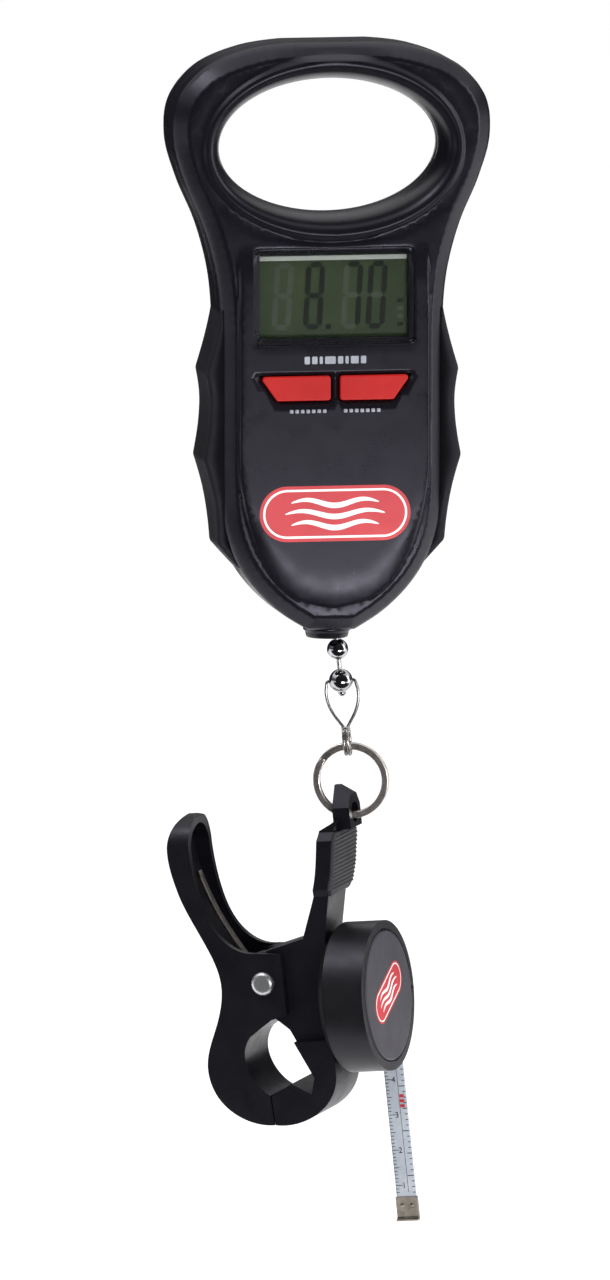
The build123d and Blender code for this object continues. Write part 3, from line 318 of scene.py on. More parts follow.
# ------------------------------------------------------------------ materials
def nodes_of(name):
    """A new material with its node tree and shader."""
    material = bpy.data.materials.new(name)
    material.use_nodes = True
    tree = material.node_tree
    return material, tree, tree.nodes["Principled BSDF"]


def position(tree):
    """Object coordinates in metres."""
    return tree.nodes.new("ShaderNodeTexCoord").outputs["Object"]


def noise(tree, scale, detail=3.0, rough=0.5, source=None, stretch=None):
    """Noise with the given number of features per metre."""
    source = source or position(tree)
    if stretch:
        mapping = tree.nodes.new("ShaderNodeMapping")
        mapping.inputs["Scale"].default_value = stretch
        tree.links.new(source, mapping.inputs["Vector"])
        source = mapping.outputs["Vector"]
    node = tree.nodes.new("ShaderNodeTexNoise")
    node.inputs["Scale"].default_value = scale
    node.inputs["Detail"].default_value = detail
    node.inputs["Roughness"].default_value = rough
    tree.links.new(source, node.inputs["Vector"])
    return node.outputs["Fac"]


def ramp(tree, value, stops):
    """Colour ramp: (position, colour) stops."""
    node = tree.nodes.new("ShaderNodeValToRGB")
    elements = node.color_ramp.elements
    while len(elements) < len(stops):
        elements.new(0.5)
    for element, (place, colour) in zip(elements, stops):
        element.position = place
        element.color = (*colour, 1)
    tree.links.new(value, node.inputs["Fac"])
    return node.outputs["Color"]


def spread(tree, value, low, high):
    """Value moved from 0..1 to low..high."""
    node = tree.nodes.new("ShaderNodeMapRange")
    node.inputs["From Min"].default_value = 0.3
    node.inputs["From Max"].default_value = 0.7
    node.inputs["To Min"].default_value = low
    node.inputs["To Max"].default_value = high
    tree.links.new(value, node.inputs["Value"])
    return node.outputs["Result"]


def bump(tree, shader, value, depth, below=None):
    """Relief of the given depth in millimetres."""
    node = tree.nodes.new("ShaderNodeBump")
    node.inputs["Distance"].default_value = depth * MM
    tree.links.new(value, node.inputs["Height"])
    if below:
        tree.links.new(below, node.inputs["Normal"])
    tree.links.new(node.outputs["Normal"], shader.inputs["Normal"])
    return node.outputs["Normal"]


def moulded(name, dark, light, rough, grain=2600, depth=0.02, specular=0.5, tint=(1, 1, 1)):
    """Moulded plastic or rubber: fine grain, slow mottling and smudges in its gloss."""
    material, tree, shader = nodes_of(name)
    slow = noise(tree, 55, 4, 0.6)
    tree.links.new(ramp(tree, slow, [(0.3, dark), (0.7, light)]), shader.inputs["Base Color"])
    smudge = noise(tree, 140, 5, 0.6)
    tree.links.new(spread(tree, smudge, *rough), shader.inputs["Roughness"])
    fine = noise(tree, grain, 2, 0.5)
    wave = bump(tree, shader, noise(tree, 90, 2, 0.5), 0.03)
    bump(tree, shader, fine, depth, below=wave)
    shader.inputs["Specular IOR Level"].default_value = specular
    shader.inputs["Specular Tint"].default_value = (*tint, 1)
    return material


def metal(name, dark, light, rough, scratch=(900, 900, 9000), depth=0.004):
    """Bare or plated metal with fine scratches and dull patches."""
    material, tree, shader = nodes_of(name)
    shader.inputs["Metallic"].default_value = 1.0
    patch = noise(tree, 420, 4, 0.6)
    tree.links.new(ramp(tree, patch, [(0.3, dark), (0.7, light)]), shader.inputs["Base Color"])
    fine = noise(tree, 1, 4, 0.6, stretch=scratch)
    tree.links.new(spread(tree, fine, *rough), shader.inputs["Roughness"])
    bump(tree, shader, fine, depth)
    return material


VIOLET = (0.86, 0.83, 1.0)
BLACK = moulded("satin black plastic", (0.0042, 0.0042, 0.0066), (0.0064, 0.0064, 0.0094), (0.26, 0.34),
                depth=0.010, specular=0.32, tint=VIOLET)
GRIP_BLACK = moulded("gripper plastic", (0.0034, 0.0033, 0.0050), (0.0056, 0.0054, 0.0076), (0.30, 0.42),
                     grain=1900, depth=0.03, specular=0.28, tint=VIOLET)
DRUM_BLACK = moulded("drum plastic", (0.0050, 0.0044, 0.0052), (0.0076, 0.0068, 0.0078), (0.32, 0.43),
                     specular=0.34, tint=VIOLET)
# Drum face: the drum's dark plastic made lighter grey, a painted sheen for the light that its face catches.
DRUM_FACE_PAINTED_SHEEN = moulded("drum face painted sheen", (0.032, 0.030, 0.037), (0.044, 0.042, 0.050), (0.36, 0.50), specular=0.4,
                    tint=VIOLET)
RUBBER = moulded("grip rubber", (0.0060, 0.0060, 0.0078), (0.0092, 0.0092, 0.0114), (0.50, 0.64),
                 grain=1500, depth=0.05, specular=0.3, tint=VIOLET)
PAD_RUBBER = moulded("pad rubber", (0.022, 0.022, 0.026), (0.034, 0.034, 0.039), (0.55, 0.68),
                     grain=1500, depth=0.05, specular=0.35)
RED = moulded("red plastic", (0.36, 0.006, 0.005), (0.42, 0.009, 0.008), (0.32, 0.44), specular=0.22)
RED_INK = moulded("red print", (0.42, 0.012, 0.022), (0.52, 0.020, 0.030), (0.34, 0.46))
WHITE_INK = moulded("white print", (0.72, 0.71, 0.70), (0.86, 0.85, 0.84), (0.38, 0.50))
GREY_INK = moulded("grey print", (0.24, 0.25, 0.29), (0.36, 0.37, 0.42), (0.40, 0.52))
WHITE_PLASTIC = moulded("white plastic", (0.58, 0.58, 0.56), (0.70, 0.70, 0.68), (0.35, 0.5))
GREEN_BOARD = moulded("circuit board", (0.010, 0.085, 0.030), (0.016, 0.12, 0.045), (0.3, 0.45))
RESIN = moulded("black resin", (0.012, 0.012, 0.012), (0.02, 0.02, 0.02), (0.3, 0.5))
CELL_LABEL = moulded("cell wrapper", (0.10, 0.10, 0.11), (0.46, 0.46, 0.48), (0.25, 0.4))
WIRE_RED = moulded("wire insulation", (0.45, 0.02, 0.02), (0.55, 0.03, 0.03), (0.4, 0.5))
CHROME = metal("chrome", (0.40, 0.40, 0.42), (0.54, 0.54, 0.56), (0.06, 0.14))
NICKEL = metal("warm nickel", (0.68, 0.63, 0.59), (0.84, 0.78, 0.74), (0.24, 0.38))
STEEL = metal("steel", (0.40, 0.40, 0.41), (0.56, 0.56, 0.57), (0.30, 0.44))
WIRE_STEEL = metal("stainless wire", (0.34, 0.33, 0.32), (0.48, 0.47, 0.46), (0.22, 0.34))
SPRING_STEEL = metal("spring steel", (0.13, 0.12, 0.11), (0.24, 0.22, 0.20), (0.34, 0.5))
ALLOY = metal("alloy", (0.55, 0.56, 0.58), (0.66, 0.67, 0.69), (0.3, 0.42))
HOOK_METAL = metal("tape end metal", (0.22, 0.19, 0.16), (0.40, 0.36, 0.31), (0.30, 0.48),
                   scratch=(2600, 2600, 2600))


def lens_material():
    """Clear window: mostly see-through, with its own gloss."""
    material, tree, shader = nodes_of("clear window")
    tree.links.new(ramp(tree, noise(tree, 60), [(0, (0.02, 0.024, 0.02)), (1, (0.03, 0.034, 0.03))]),
                   shader.inputs["Base Color"])
    tree.links.new(spread(tree, noise(tree, 300, 4), 0.04, 0.09), shader.inputs["Roughness"])
    shader.inputs["Alpha"].default_value = 0.05
    return material


def glass_material():
    """Reflective liquid crystal glass: green grey, in slow patches."""
    material, tree, shader = nodes_of("display glass")
    slow = noise(tree, 45, 2, 0.5)
    colour = ramp(tree, slow, [(0.3, (0.019, 0.035, 0.015)), (0.7, (0.033, 0.048, 0.019))])
    tree.links.new(colour, shader.inputs["Base Color"])
    tree.links.new(spread(tree, noise(tree, 500, 3), 0.28, 0.38), shader.inputs["Roughness"])
    bump(tree, shader, noise(tree, 3000, 2), 0.004)
    shader.inputs["Specular IOR Level"].default_value = 0.25
    return material


def film_material():
    """Printed plastic tape: bluish white with a faint weave and grime."""
    material, tree, shader = nodes_of("tape film")
    colour = ramp(tree, noise(tree, 160, 5, 0.65), [(0.25, (0.34, 0.37, 0.42)), (0.7, (0.48, 0.52, 0.58))])
    tree.links.new(colour, shader.inputs["Base Color"])
    tree.links.new(spread(tree, noise(tree, 700), 0.32, 0.46), shader.inputs["Roughness"])
    bump(tree, shader, noise(tree, 1, 2, stretch=(4000, 4000, 900)), 0.01)
    return material


LENS = lens_material()
GLASS = glass_material()
FILM = film_material()
SEGMENT = moulded("display segments", (0.004, 0.007, 0.004), (0.007, 0.011, 0.006), (0.35, 0.45),
                  specular=0.2)
GHOST = moulded("resting segments", (0.021, 0.034, 0.018), (0.030, 0.043, 0.023), (0.35, 0.45))
# Light grey strip along the display glass's top edge: a painted highlight for the light on the window's top
# inner edge.
GLASS_TOP_HIGHLIGHT = moulded("display glass top highlight", (0.30, 0.33, 0.30), (0.38, 0.41, 0.38), (0.3, 0.4))


# ------------------------------------------------------------------ the case
CASE_FOOT = -134.8
CASE_SHOULDER = [(12, 29.0), (25, 27.0), (37.0, 21.5), (43.7, 12.6), (44.6, 2.8), (41.4, -9.0),
                 (36.2, -21.2), (32.6, -34.5), (31.2, -52)]
CASE_TIP = [(31.2, -92), (29.5, -108), (24.2, -119.5), (15.4, -129.0), (6.4, CASE_FOOT)]
PANEL_EDGE = [(27.0, -72.0), (24.9, -102.7), (20.4, -115.0), (12.6, -124.6), (0, -128.4)]
LOOP_HALF = (31.0, 18.6)
LOOP_FLARE = (4.5, 5.4)
FRONT_DEPTH, REAR_DEPTH, PANEL_RISE, BEVEL = 11.5, 12.5, 1.5, 4.0
WINDOW = (45.0, 26.6)
WINDOW_HOLE = (41.8, 22.6)
WINDOW_Z = -41.2
WINDOW_FLOOR = 11.0
BUTTON_TOP, BUTTON_FOOT, BUTTON_INNER, BUTTON_OUTER = -63.1, -70.0, 1.3, (21.3, 16.4)
CASE_SCREWS = [(36.9, 8.5), (26.4, -24.2), (21.4, -113.4)]
SCREW_RECESS = 2.45
LIP_RISE = 1.1
DOOR = (27.6, 52.6, -81.1)


def mirrored(right):
    """Closed clockwise loop from its right half, which runs from the top to the foot."""
    return right + [np.array((-p[0], p[1])) for p in right[::-1] if abs(p[0]) > 0.01]


def case_loop(step=1.3):
    """The case's outline."""
    right = [(0, 29.0)] + smooth_line(CASE_SHOULDER) + smooth_line(CASE_TIP) + [(0, CASE_FOOT)]
    return even_line(mirrored([np.array(p, float) for p in right]), step, closed=True)


def panel_loop(step=1.3):
    """The raised panel's outline, which fades out at its top."""
    right = [(0, -25.5), (27.0, -25.5), (27.0, -71.0)] + smooth_line(PANEL_EDGE)
    return even_line(mirrored([np.array(p, float) for p in right]), step, closed=True)


def loop_ellipse(share, count=150):
    """The hand opening, from its waist (0) to the crest of its lip (1)."""
    return ellipse(LOOP_HALF[0] + LOOP_FLARE[0] * share, LOOP_HALF[1] + LOOP_FLARE[1] * share, count)


def button_loop(side, grow):
    """Outline of a button's hole."""
    tilt = (BUTTON_OUTER[0] - BUTTON_OUTER[1]) / (BUTTON_TOP - BUTTON_FOOT)
    skew = grow * (hypot(1, tilt) + tilt)
    corners = [
        (BUTTON_INNER - grow, BUTTON_TOP + grow), (BUTTON_OUTER[0] + skew, BUTTON_TOP + grow),
        (BUTTON_OUTER[1] + skew - 2 * grow * tilt, BUTTON_FOOT - grow),
        (BUTTON_INNER - grow, BUTTON_FOOT - grow),
    ]
    loop = [np.array((side * x, z)) for x, z in corners]
    return even_line(loop if side > 0 else loop[::-1], 1.0, closed=True)


CASE_LOOP = case_loop()
PANEL_LOOP = panel_loop()
LIP_LOOP = loop_ellipse(1)
WINDOW_LOOP = even_line(rounded_box(*WINDOW, 1.2, (0, WINDOW_Z)), 0.9, closed=True)


def bevel_height(points, depth):
    """Height of the case's face with its bevel, which is rounded at both ends."""
    inward = distance(points, CASE_LOOP)
    slope = depth - BEVEL + inward
    mix = np.clip(0.5 + (slope - depth) / 1.6, 0, 1)
    level = slope * (1 - mix) + depth * mix - 0.8 * mix * (1 - mix)
    return level - 0.55 * np.clip(1 - inward / 0.8, 0, 1) ** 2


def lip_height(points, rise):
    """The rolled lip round the hand opening."""
    outward = distance(points, LIP_LOOP)
    return rise * np.exp(-((outward / 1.0) ** 2)) - rise * 0.4 * np.exp(-(((outward - 2.3) / 0.8) ** 2))


def front_height(points):
    """Relief of the case's front."""
    z = points[:, 1]
    level = bevel_height(points, FRONT_DEPTH) + lip_height(points, LIP_RISE)
    edge = distance(points, PANEL_LOOP)
    within = inside(points, PANEL_LOOP)
    shown = 1 - blend_step(z, -37.0, -27.0)
    low = 1 - blend_step(z, -126.0, -96.0)
    roll = 1.3 + 9.0 * low
    groove = (0.30 - 0.22 * low) * shown
    arc = np.sqrt(np.clip(1 - (1 - np.clip(edge / roll, 0, 1)) ** 2, 0, 1))
    raised = FRONT_DEPTH - groove + (PANEL_RISE + groove) * arc
    panel = FRONT_DEPTH * (1 - shown) + raised * shown
    level = np.where(within, panel + lip_height(points, LIP_RISE) * (1 - shown), level)
    trough = groove * np.exp(-((edge / (0.5 + 0.9 * low)) ** 2))
    level = np.where(within, level, level - trough)
    return level - 0.25 * np.clip(1 - distance(points, WINDOW_LOOP) / 0.5, 0, 1) ** 2


def case_side(form, depth, height, place):
    """Side wall from the parting line to the bevel, with the parting groove."""
    loop = np.array(CASE_LOOP)
    top = height(loop)
    rings = [
        [place(*p, 0.02) for p in inset_loop(loop, 0.3)],
        [place(*p, 0.30) for p in loop],
        [place(*p, (depth - BEVEL) * 0.5) for p in loop],
        [place(*p, t - 0.35) for p, t in zip(loop, top)],
        [place(*p, t) for p, t in zip(loop, top)],
    ]
    form.skin(rings)


def loop_wall(form, crest, place):
    """Wall of the hand opening: a rolled lip that narrows to the waist."""
    rings = []
    for k in range(13):
        turn = k / 12 * pi / 2
        rings.append([place(*p, 0.25 + (crest - 0.25) * sin(turn)) for p in loop_ellipse(1 - cos(turn))])
    rings.insert(0, [place(*p, 0.0) for p in loop_ellipse(0.06)])
    form.skin(rings)


def pocket(form, loop, top, floor, place, closed=True, rim=0.0):
    """Straight wall of a recess, with its floor."""
    loop = [np.array(p) for p in loop]
    levels = top(np.array(loop))
    rings = [[place(*p, level) for p, level in zip(loop, levels)], [place(*p, floor) for p in loop]]
    form.skin(rings)
    if closed:
        form.add(rings[1], [tuple(range(len(loop)))])
    elif rim:
        inner = inset_loop(loop, rim)
        form.skin([rings[1], [place(*p, floor) for p in inner], [place(*p, floor - 2) for p in inner]])


def front_piece():
    """The front half of the case."""
    form = Form()
    buttons = [button_loop(side, 0.28) for side in (-1, 1)]
    rings = [inset_loop(CASE_LOOP, amount) for amount in (0.35, 0.8, 1.6, 3.3, 4.0, 4.8)]
    rings += [loop_ellipse(1.12), loop_ellipse(1.25), loop_ellipse(1.42)]
    rings += [PANEL_LOOP, inset_loop(PANEL_LOOP, 0.45), inset_loop(PANEL_LOOP, 1.2)]
    rings += [even_line(rounded_box(WINDOW[0] + 1, WINDOW[1] + 1, 1.6, (0, WINDOW_Z)), 1, closed=True)]
    form.sheet(CASE_LOOP, [LIP_LOOP, WINDOW_LOOP, *buttons], rings, 1.9, case_place, front_height)
    case_side(form, FRONT_DEPTH, front_height, case_place)
    loop_wall(form, float(front_height(np.array(LIP_LOOP)).mean()), case_place)
    pocket(form, WINDOW_LOOP, front_height, WINDOW_FLOOR, case_place, closed=False,
           rim=(WINDOW[0] - WINDOW_HOLE[0]) / 2)
    for loop in buttons:
        pocket(form, loop, front_height, 9.5, case_place, closed=False)
    return form.piece("front_case", BLACK, "scale_body", "black_plastic", "front_shell")


def rear_height(points):
    """Relief of the case's back."""
    return bevel_height(points, REAR_DEPTH)


def rear_place(x, z, depth):
    """Case place measured rearward of the parting plane."""
    return case_place(x, z, -depth)


def rear_piece():
    """The rear half of the case, with the battery door's recess and the screw holes."""
    form = Form()
    door = even_line(rounded_box(DOOR[0], DOOR[1], 2, (0, DOOR[2])), 1.2, closed=True)
    places = [(side * x, z) for side in (-1, 1) for x, z in CASE_SCREWS]
    screws = [ellipse(SCREW_RECESS, SCREW_RECESS, 28, place) for place in places]
    rings = [inset_loop(CASE_LOOP, amount) for amount in (0.35, 0.8, 1.6, 3.3, 4.0, 4.8)]
    rings += [loop_ellipse(1.1), loop_ellipse(1.25)]
    form.sheet(CASE_LOOP, [LIP_LOOP, door, *screws], rings, 2.4, rear_place, rear_height)
    case_side(form, REAR_DEPTH, rear_height, rear_place)
    loop_wall(form, float(rear_height(np.array(LIP_LOOP)).mean()), rear_place)
    pocket(form, door, rear_height, REAR_DEPTH - 1.75, rear_place)
    for loop in screws:
        pocket(form, loop, rear_height, REAR_DEPTH - 3.55, rear_place)
    return form.piece("rear_case", BLACK, "scale_body", "black_plastic", "rear_shell")


front_piece()
rear_piece()


# ------------------------------------------------------------------ side grips
GRIP_EDGE = [
    [(31.3, -45.0), (33.4, -54.0), (35.8, -62.2)],
    [(35.8, -62.2), (34.7, -70.0), (34.9, -76.0), (36.5, -86.4)],
    [(36.5, -86.4), (33.4, -98.0), (32.6, -104.5), (32.3, -110.3)],
    [(32.3, -110.3), (30.3, -112.6), (27.0, -116.2)],
]
GRIP_FRONT, GRIP_REAR, GRIP_TUCK = 8.4, -9.0, 3.2


def grip_piece(side, name, node):
    """Rubber side grip: hollowed between its ridges, with rounded front and rear edges."""
    outer = []
    for run in GRIP_EDGE:
        outer += smooth_line(run, 5)[:-1]
    outer = even_line(outer + [np.array((26.0, -117.3))], 0.9)
    seat = np.array(CASE_LOOP)
    seat = seat[seat[:, 0] > 0]
    inner = [np.array((np.interp(-p[1], -seat[:, 1], seat[:, 0]) - 1.2, p[1])) for p in outer]
    stand = [max(0.0, p[0] - q[0] - 1.2) for p, q in zip(outer, inner)]
    tuck = blend_step(-np.array([p[1] for p in outer]), 96.0, 116.0) * GRIP_TUCK
    form = Form()
    rings = []
    for face, turns, way in ((GRIP_FRONT, range(7), -1), (GRIP_REAR, range(6, -1, -1), 1)):
        for turn in turns:
            angle = turn / 6 * pi / 2
            rings.append([
                case_place(side * (p[0] - min(1.4, 0.2 + s) * (1 - sin(angle))), p[1],
                           face + way * (1.4 * (1 - cos(angle)) + t))
                for p, s, t in zip(outer, stand, tuck)
            ])
    rings.insert(0, [case_place(side * p[0], p[1], GRIP_FRONT - t) for p, t in zip(inner, tuck)])
    rings.append([case_place(side * p[0], p[1], GRIP_REAR + t) for p, t in zip(inner, tuck)])
    rings.append(rings[0])
    form.skin(rings, closed=False)
    ends = [[ring[k] for ring in rings[:-1]] for k in (0, -1)]
    for end in ends:
        form.add(end, [tuple(range(len(end)))])
    return form.piece(name, RUBBER, "scale_body", "black_rubber", node)


grip_piece(-1, "left_rubber", "left_grip")
grip_piece(1, "right_rubber", "right_grip")


# ------------------------------------------------------------------ display
SLANT = 0.06
GLASS_FACE = 9.03


def slanted(points, base):
    """Points leaned to the right, as display digits are."""
    return [np.array((x + (z - base) * SLANT, z)) for x, z in points]


def segment_bars(centre, foot, width, height, thick):
    """The seven bars of a digit, by letter."""
    half, mid, top = width / 2, foot + height / 2, foot + height
    bevelled, gap = thick / 2, 0.14
    bars = {}
    for name, level in (("a", top - bevelled), ("g", mid), ("d", foot + bevelled)):
        a, b = centre - half + bevelled + gap, centre + half - bevelled - gap
        bars[name] = [(a, level), (a + bevelled, level + bevelled), (b - bevelled, level + bevelled),
                      (b, level), (b - bevelled, level - bevelled), (a + bevelled, level - bevelled)]
    for name, side, low, high in (("f", -1, mid, top - bevelled), ("b", 1, mid, top - bevelled),
                                  ("e", -1, foot + bevelled, mid), ("c", 1, foot + bevelled, mid)):
        x = centre + side * (half - bevelled)
        low, high = low + gap, high - gap
        bars[name] = [(x, high), (x + bevelled, high - bevelled), (x + bevelled, low + bevelled),
                      (x, low), (x - bevelled, low + bevelled), (x - bevelled, high - bevelled)]
    return bars


def display_pieces():
    """Digits, the resting digit at the left, small marks at the right and a light grey strip along the
    glass's top edge, which is a painted highlight.
    """
    foot, height, width, thick = -50.7, 18.9, 5.4, 1.55
    shown, resting = Form(), Form()
    for centre, lit in ((-14.6, ""), (-5.8, "abcdefg"), (4.9, "abc"), (11.8, "abcdef")):
        for name, bar in segment_bars(centre, foot, width, height, thick).items():
            target = shown if name in lit else resting
            lift = 0.03 if name in lit else 0.015
            target.prism(slanted(bar, foot), case_place, GLASS_FACE - 0.01, GLASS_FACE + lift)
    shown.prism(rounded_box(1.5, 1.5, 0.3, (-1.2, foot + 0.8)), case_place, GLASS_FACE, GLASS_FACE + 0.03)
    for row in range(4):
        target = shown if row in (0, 3) else resting
        target.prism(rounded_box(1.8, 1.0, 0.3, (19.0, foot + 1.2 + 2.2 * row)), case_place,
                     GLASS_FACE, GLASS_FACE + 0.03)
    shown.piece("display_digits", SEGMENT, "scale_body", "lcd_glass")
    resting.piece("display_resting", GHOST, "scale_body", "lcd_glass")
    # Light grey strip at the top of the glass: painted highlight.
    rim = Form()
    rim.prism(rounded_box(41.6, 1.3, 0.2, (0, WINDOW_Z + WINDOW_HOLE[1] / 2 - 0.75)), case_place,
              GLASS_FACE - 0.02, GLASS_FACE + 0.35)
    rim.piece("display_top_highlight", GLASS_TOP_HIGHLIGHT, "scale_body", "lcd_glass", bevel=0.1)


display_pieces()


# ------------------------------------------------------------------ printed marks on the case
INK = 13.0


def flat_mark(form, loop, low=INK - 0.05, high=INK + 0.03, place=case_place):
    """Thin printed shape on a face."""
    form.prism(loop, place, low, high)


def wave(centre, width, rise, thick, count=30, cycles=1.5):
    """Closed wave-shaped stripe that tapers at both ends."""
    upper, lower = [], []
    for k in range(count + 1):
        t = k / count
        x = centre[0] + (t - 0.5) * width
        z = centre[1] + rise * sin(t * cycles * 2 * pi)
        half = thick / 2 * (0.15 + 0.85 * sin(pi * t) ** 0.6)
        upper.append(np.array((x, z + half)))
        lower.append(np.array((x, z - half)))
    return upper + lower[::-1]


def badge(prefix, place, level, centre, width, height, body, slot):
    """Plain capsule with three waves: a generic mark."""
    base, line, waves = Form(), Form(), Form()
    x, z = centre
    flat_mark(base, rounded_box(width, height, height / 2, centre, 14), level - 0.06, level + 0.03, place)
    outer = rounded_box(width * 0.955, height * 0.88, height * 0.44, centre, 14)
    inner = rounded_box(width * 0.925, height * 0.80, height * 0.40, centre, 14)
    line.skin([[place(*p, level + d) for p in loop] for loop, d in
               ((outer, 0.0), (outer, 0.05), (inner, 0.05), (inner, 0.0))])
    for row in (-1, 0, 1):
        stripe = wave((x, z + row * height * 0.2), width * (0.66 - 0.08 * abs(row)), height * 0.055,
                      height * 0.10)
        flat_mark(waves, stripe, level, level + 0.05, place)
    base.piece(prefix + "_field", RED_INK, body, slot)
    line.piece(prefix + "_line", WHITE_INK, body, slot)
    waves.piece(prefix + "_waves", WHITE_INK, body, slot)


def case_marks():
    """Generic marks above and below the buttons: a row of blocks and two short rows."""
    marks = Form()
    x = -8.6
    for width in (1.5, 1.5, 0.9, 3.0, 1.5, 0.9, 2.2, 1.5):
        flat_mark(marks, rounded_box(width, 2.1, 0.3, (x + width / 2, -58.8)))
        x += width + 0.62
    for side in (-1, 1):
        for k in range(7):
            flat_mark(marks, rounded_box(1.0, 1.0, 0.2, (side * 7.6 + (k - 3) * 1.55, -73.0)))
    marks.piece("case_marks", GREY_INK, "scale_body", "black_plastic")


case_marks()
badge("case_badge", case_place, INK, (0, -101.6), 42.5, 15.5, "scale_body", "black_plastic")


# ------------------------------------------------------------------ collar
def collar_piece():
    """Moulded collar that the chain's rod hangs through."""
    profile = [(4.3, -3.0), (4.2, 2.6), (4.4, 2.8), (5.3, 2.8), (5.65, 2.68), (5.85, 2.4), (6.05, 1.5),
               (6.25, 0.95), (6.55, 0.75), (6.68, 0.5), (6.7, 0.2), (6.7, -0.7), (5.6, -0.7), (5.6, -3.0)]
    form = Form()
    form.lathe(profile, lambda x, y, drop: Vector((x, y, CASE_FOOT - drop)) * MM, (0, 0), hollow=True)
    form.piece("collar_moulding", BLACK, "scale_body", "black_plastic", "bottom_collar")


collar_piece()


# ------------------------------------------------------------------ chain
BAIL_JOIN, EYE_FOOT, RING_DROP = 51.2, 59.5, 66.3
RING_RADIUS = 9.7


def bail_piece():
    """Pear-shaped wire bail, wrapped below, with a doubled eye turned a quarter."""
    form = Form()
    half = [(2.9, 38.2), (3.75, 38.25), (4.35, 39.9), (4.55, 42.2), (4.1, 44.9), (2.9, 47.7),
            (1.5, 49.9), (0.62, 51.4), (0.45, 52.6)]
    for side in (-1, 1):
        form.tube([chain_place(side * s, 0, d) for s, d in smooth_line(half, 6)], 0.45)
        middle, tall = (BAIL_JOIN + EYE_FOOT) / 2, (EYE_FOOT - BAIL_JOIN) / 2 - 0.5
        turns = [2 * pi * k / 48 for k in range(48)]
        form.tube([chain_place(side * 0.5, 2.05 * cos(t), middle + tall * sin(t)) for t in turns], 0.48,
                  closed=True)
    wraps = 2.5
    path = []
    for k in range(61):
        turn = k / 60 * wraps * 2 * pi
        path.append(chain_place(1.0 * cos(turn), 1.0 * sin(turn), BAIL_JOIN + k / 60 * wraps * 0.62))
    form.tube(path, 0.3, 8)
    form.piece("bail_wire", WIRE_STEEL, "wire_bail", "nickel", "wire_bail")


def ring_piece():
    """Split ring: flat wire wound twice, with its step and both ends near the top right."""
    section = rounded_box(1.98, 0.96, 0.34, steps=4)
    rings = []
    count = 200
    for k in range(count + 1):
        turn = k / count * 4 * pi
        angle = turn - radians(48)
        level = -0.5 + blend_step(np.array(turn), 2 * pi - 0.30, 2 * pi + 0.30)
        tip = 1 - 0.35 * (1 - min(1, min(k, count - k) / 3))
        rings.append([
            chain_place((RING_RADIUS + a * tip) * sin(angle), float(level) + b * tip,
                        RING_DROP - (RING_RADIUS + a * tip) * cos(angle))
            for a, b in section
        ])
    form = Form()
    form.skin(rings, caps=True)
    form.piece("ring_wire", NICKEL, "split_ring", "nickel", "split_ring")


bail_piece()
ring_piece()


# ------------------------------------------------------------------ gripper
def pad_piece():
    """Ribbed rubber pad on the outer side of the right bar, with tapered ends."""
    step = 0.22
    outer = even_line([(24.73, 41.3), (23.1, 30.4), (21.2, 23.4)], step)
    length = step * (len(outer) - 1)
    form, rings = Form(), []
    for k, (u, w) in enumerate(outer):
        run = k * step
        ends = min(run, length - run)
        half = 7.3 + min(2.05, ends)
        rib = 0.32 * max(0.0, sin(run / 1.15 * 2 * pi)) ** 0.6 if 1.0 < ends else 0.0
        skin = 1.05 + rib - 0.25 * max(0.0, 1 - ends / 0.5)
        rings.append([
            grip_place(u + a, w, v) for a, v in
            ((0.05, -half), (skin - 0.3, -half), (skin, -half + 0.3), (skin, half - 0.3),
             (skin - 0.3, half), (0.05, half))
        ])
    form.skin(rings, caps=True)
    form.piece("pad_ribbed", PAD_RUBBER, "gripper_frame", "grey_pad", "finger_pad")


def spring_pieces():
    """Coil round the pivot with its short arm, and the long arm up the handle's channel."""
    coil = Form()
    path = []
    turns = 3.1
    for k in range(150):
        t = k / 149
        angle = radians(75) - t * turns * 2 * pi
        path.append(grip_place(4.6 * cos(angle), 4.6 * sin(angle), 2.2 - 4.4 * t))
    coil.tube(path, 0.72, 10)
    coil.tube([grip_place(*p, -2.2) for p in ((2.0, 4.3), (8, 4.9), (14.3, 5.3))], 0.6, 10)
    coil.piece("spring_coil", SPRING_STEEL, "gripper_frame", "spring_steel", "jaw_spring")
    arm = Form()
    line = smooth_line([(-3.9, 3.0), (-8.4, 9.6), (-14.4, 20.6), (-18.4, 31.4)], 6)
    section = rounded_box(0.9, 2.6, 0.3, steps=2)
    rings = [[grip_place(u + a, w + a * 0.5, 2.0 + b) for a, b in section] for u, w in line]
    arm.skin(rings, caps=True)
    arm.piece("spring_arm", SPRING_STEEL, "left_lever", "spring_steel")


pad_piece()
spring_pieces()


# ------------------------------------------------------------------ tape drum
DRUM_W = -6.4
DRUM_FACE = 33.5
TAPE_MIDDLE = 26.5
TAPE_FRONT = -15.88
TAPE_TIP = -72.9


def drum_place(back, w, u):
    """Place on the drum's axis: rearward and up from the centre, u along the axle."""
    return grip_place(u, DRUM_W + w, -back)


def drum_face_place(across, up, u):
    """Place on the drum's face as a reader sees it, leaned as its badge is."""
    lean = radians(24)
    return drum_place(across * cos(lean) - up * sin(lean), across * sin(lean) + up * cos(lean), u)


badge("drum_badge", drum_face_place, DRUM_FACE, (0.0, 1.0), 24.0, 9.6, "tape_button", "grey_plastic")


def tape_place(across, w, rise):
    """Place on the tape: across from its middle, w up and how far off its face."""
    return grip_place(TAPE_MIDDLE + across, w, TAPE_FRONT + rise)


def tape_tick(form, left, width, drop, thick=0.16):
    """Printed tick on the tape, at a distance above the tip."""
    right, foot, top = left + width, TAPE_TIP + drop - thick / 2, TAPE_TIP + drop + thick / 2
    form.prism([(left, top), (right, top), (right, foot), (left, foot)], tape_place, -0.02, 0.03)


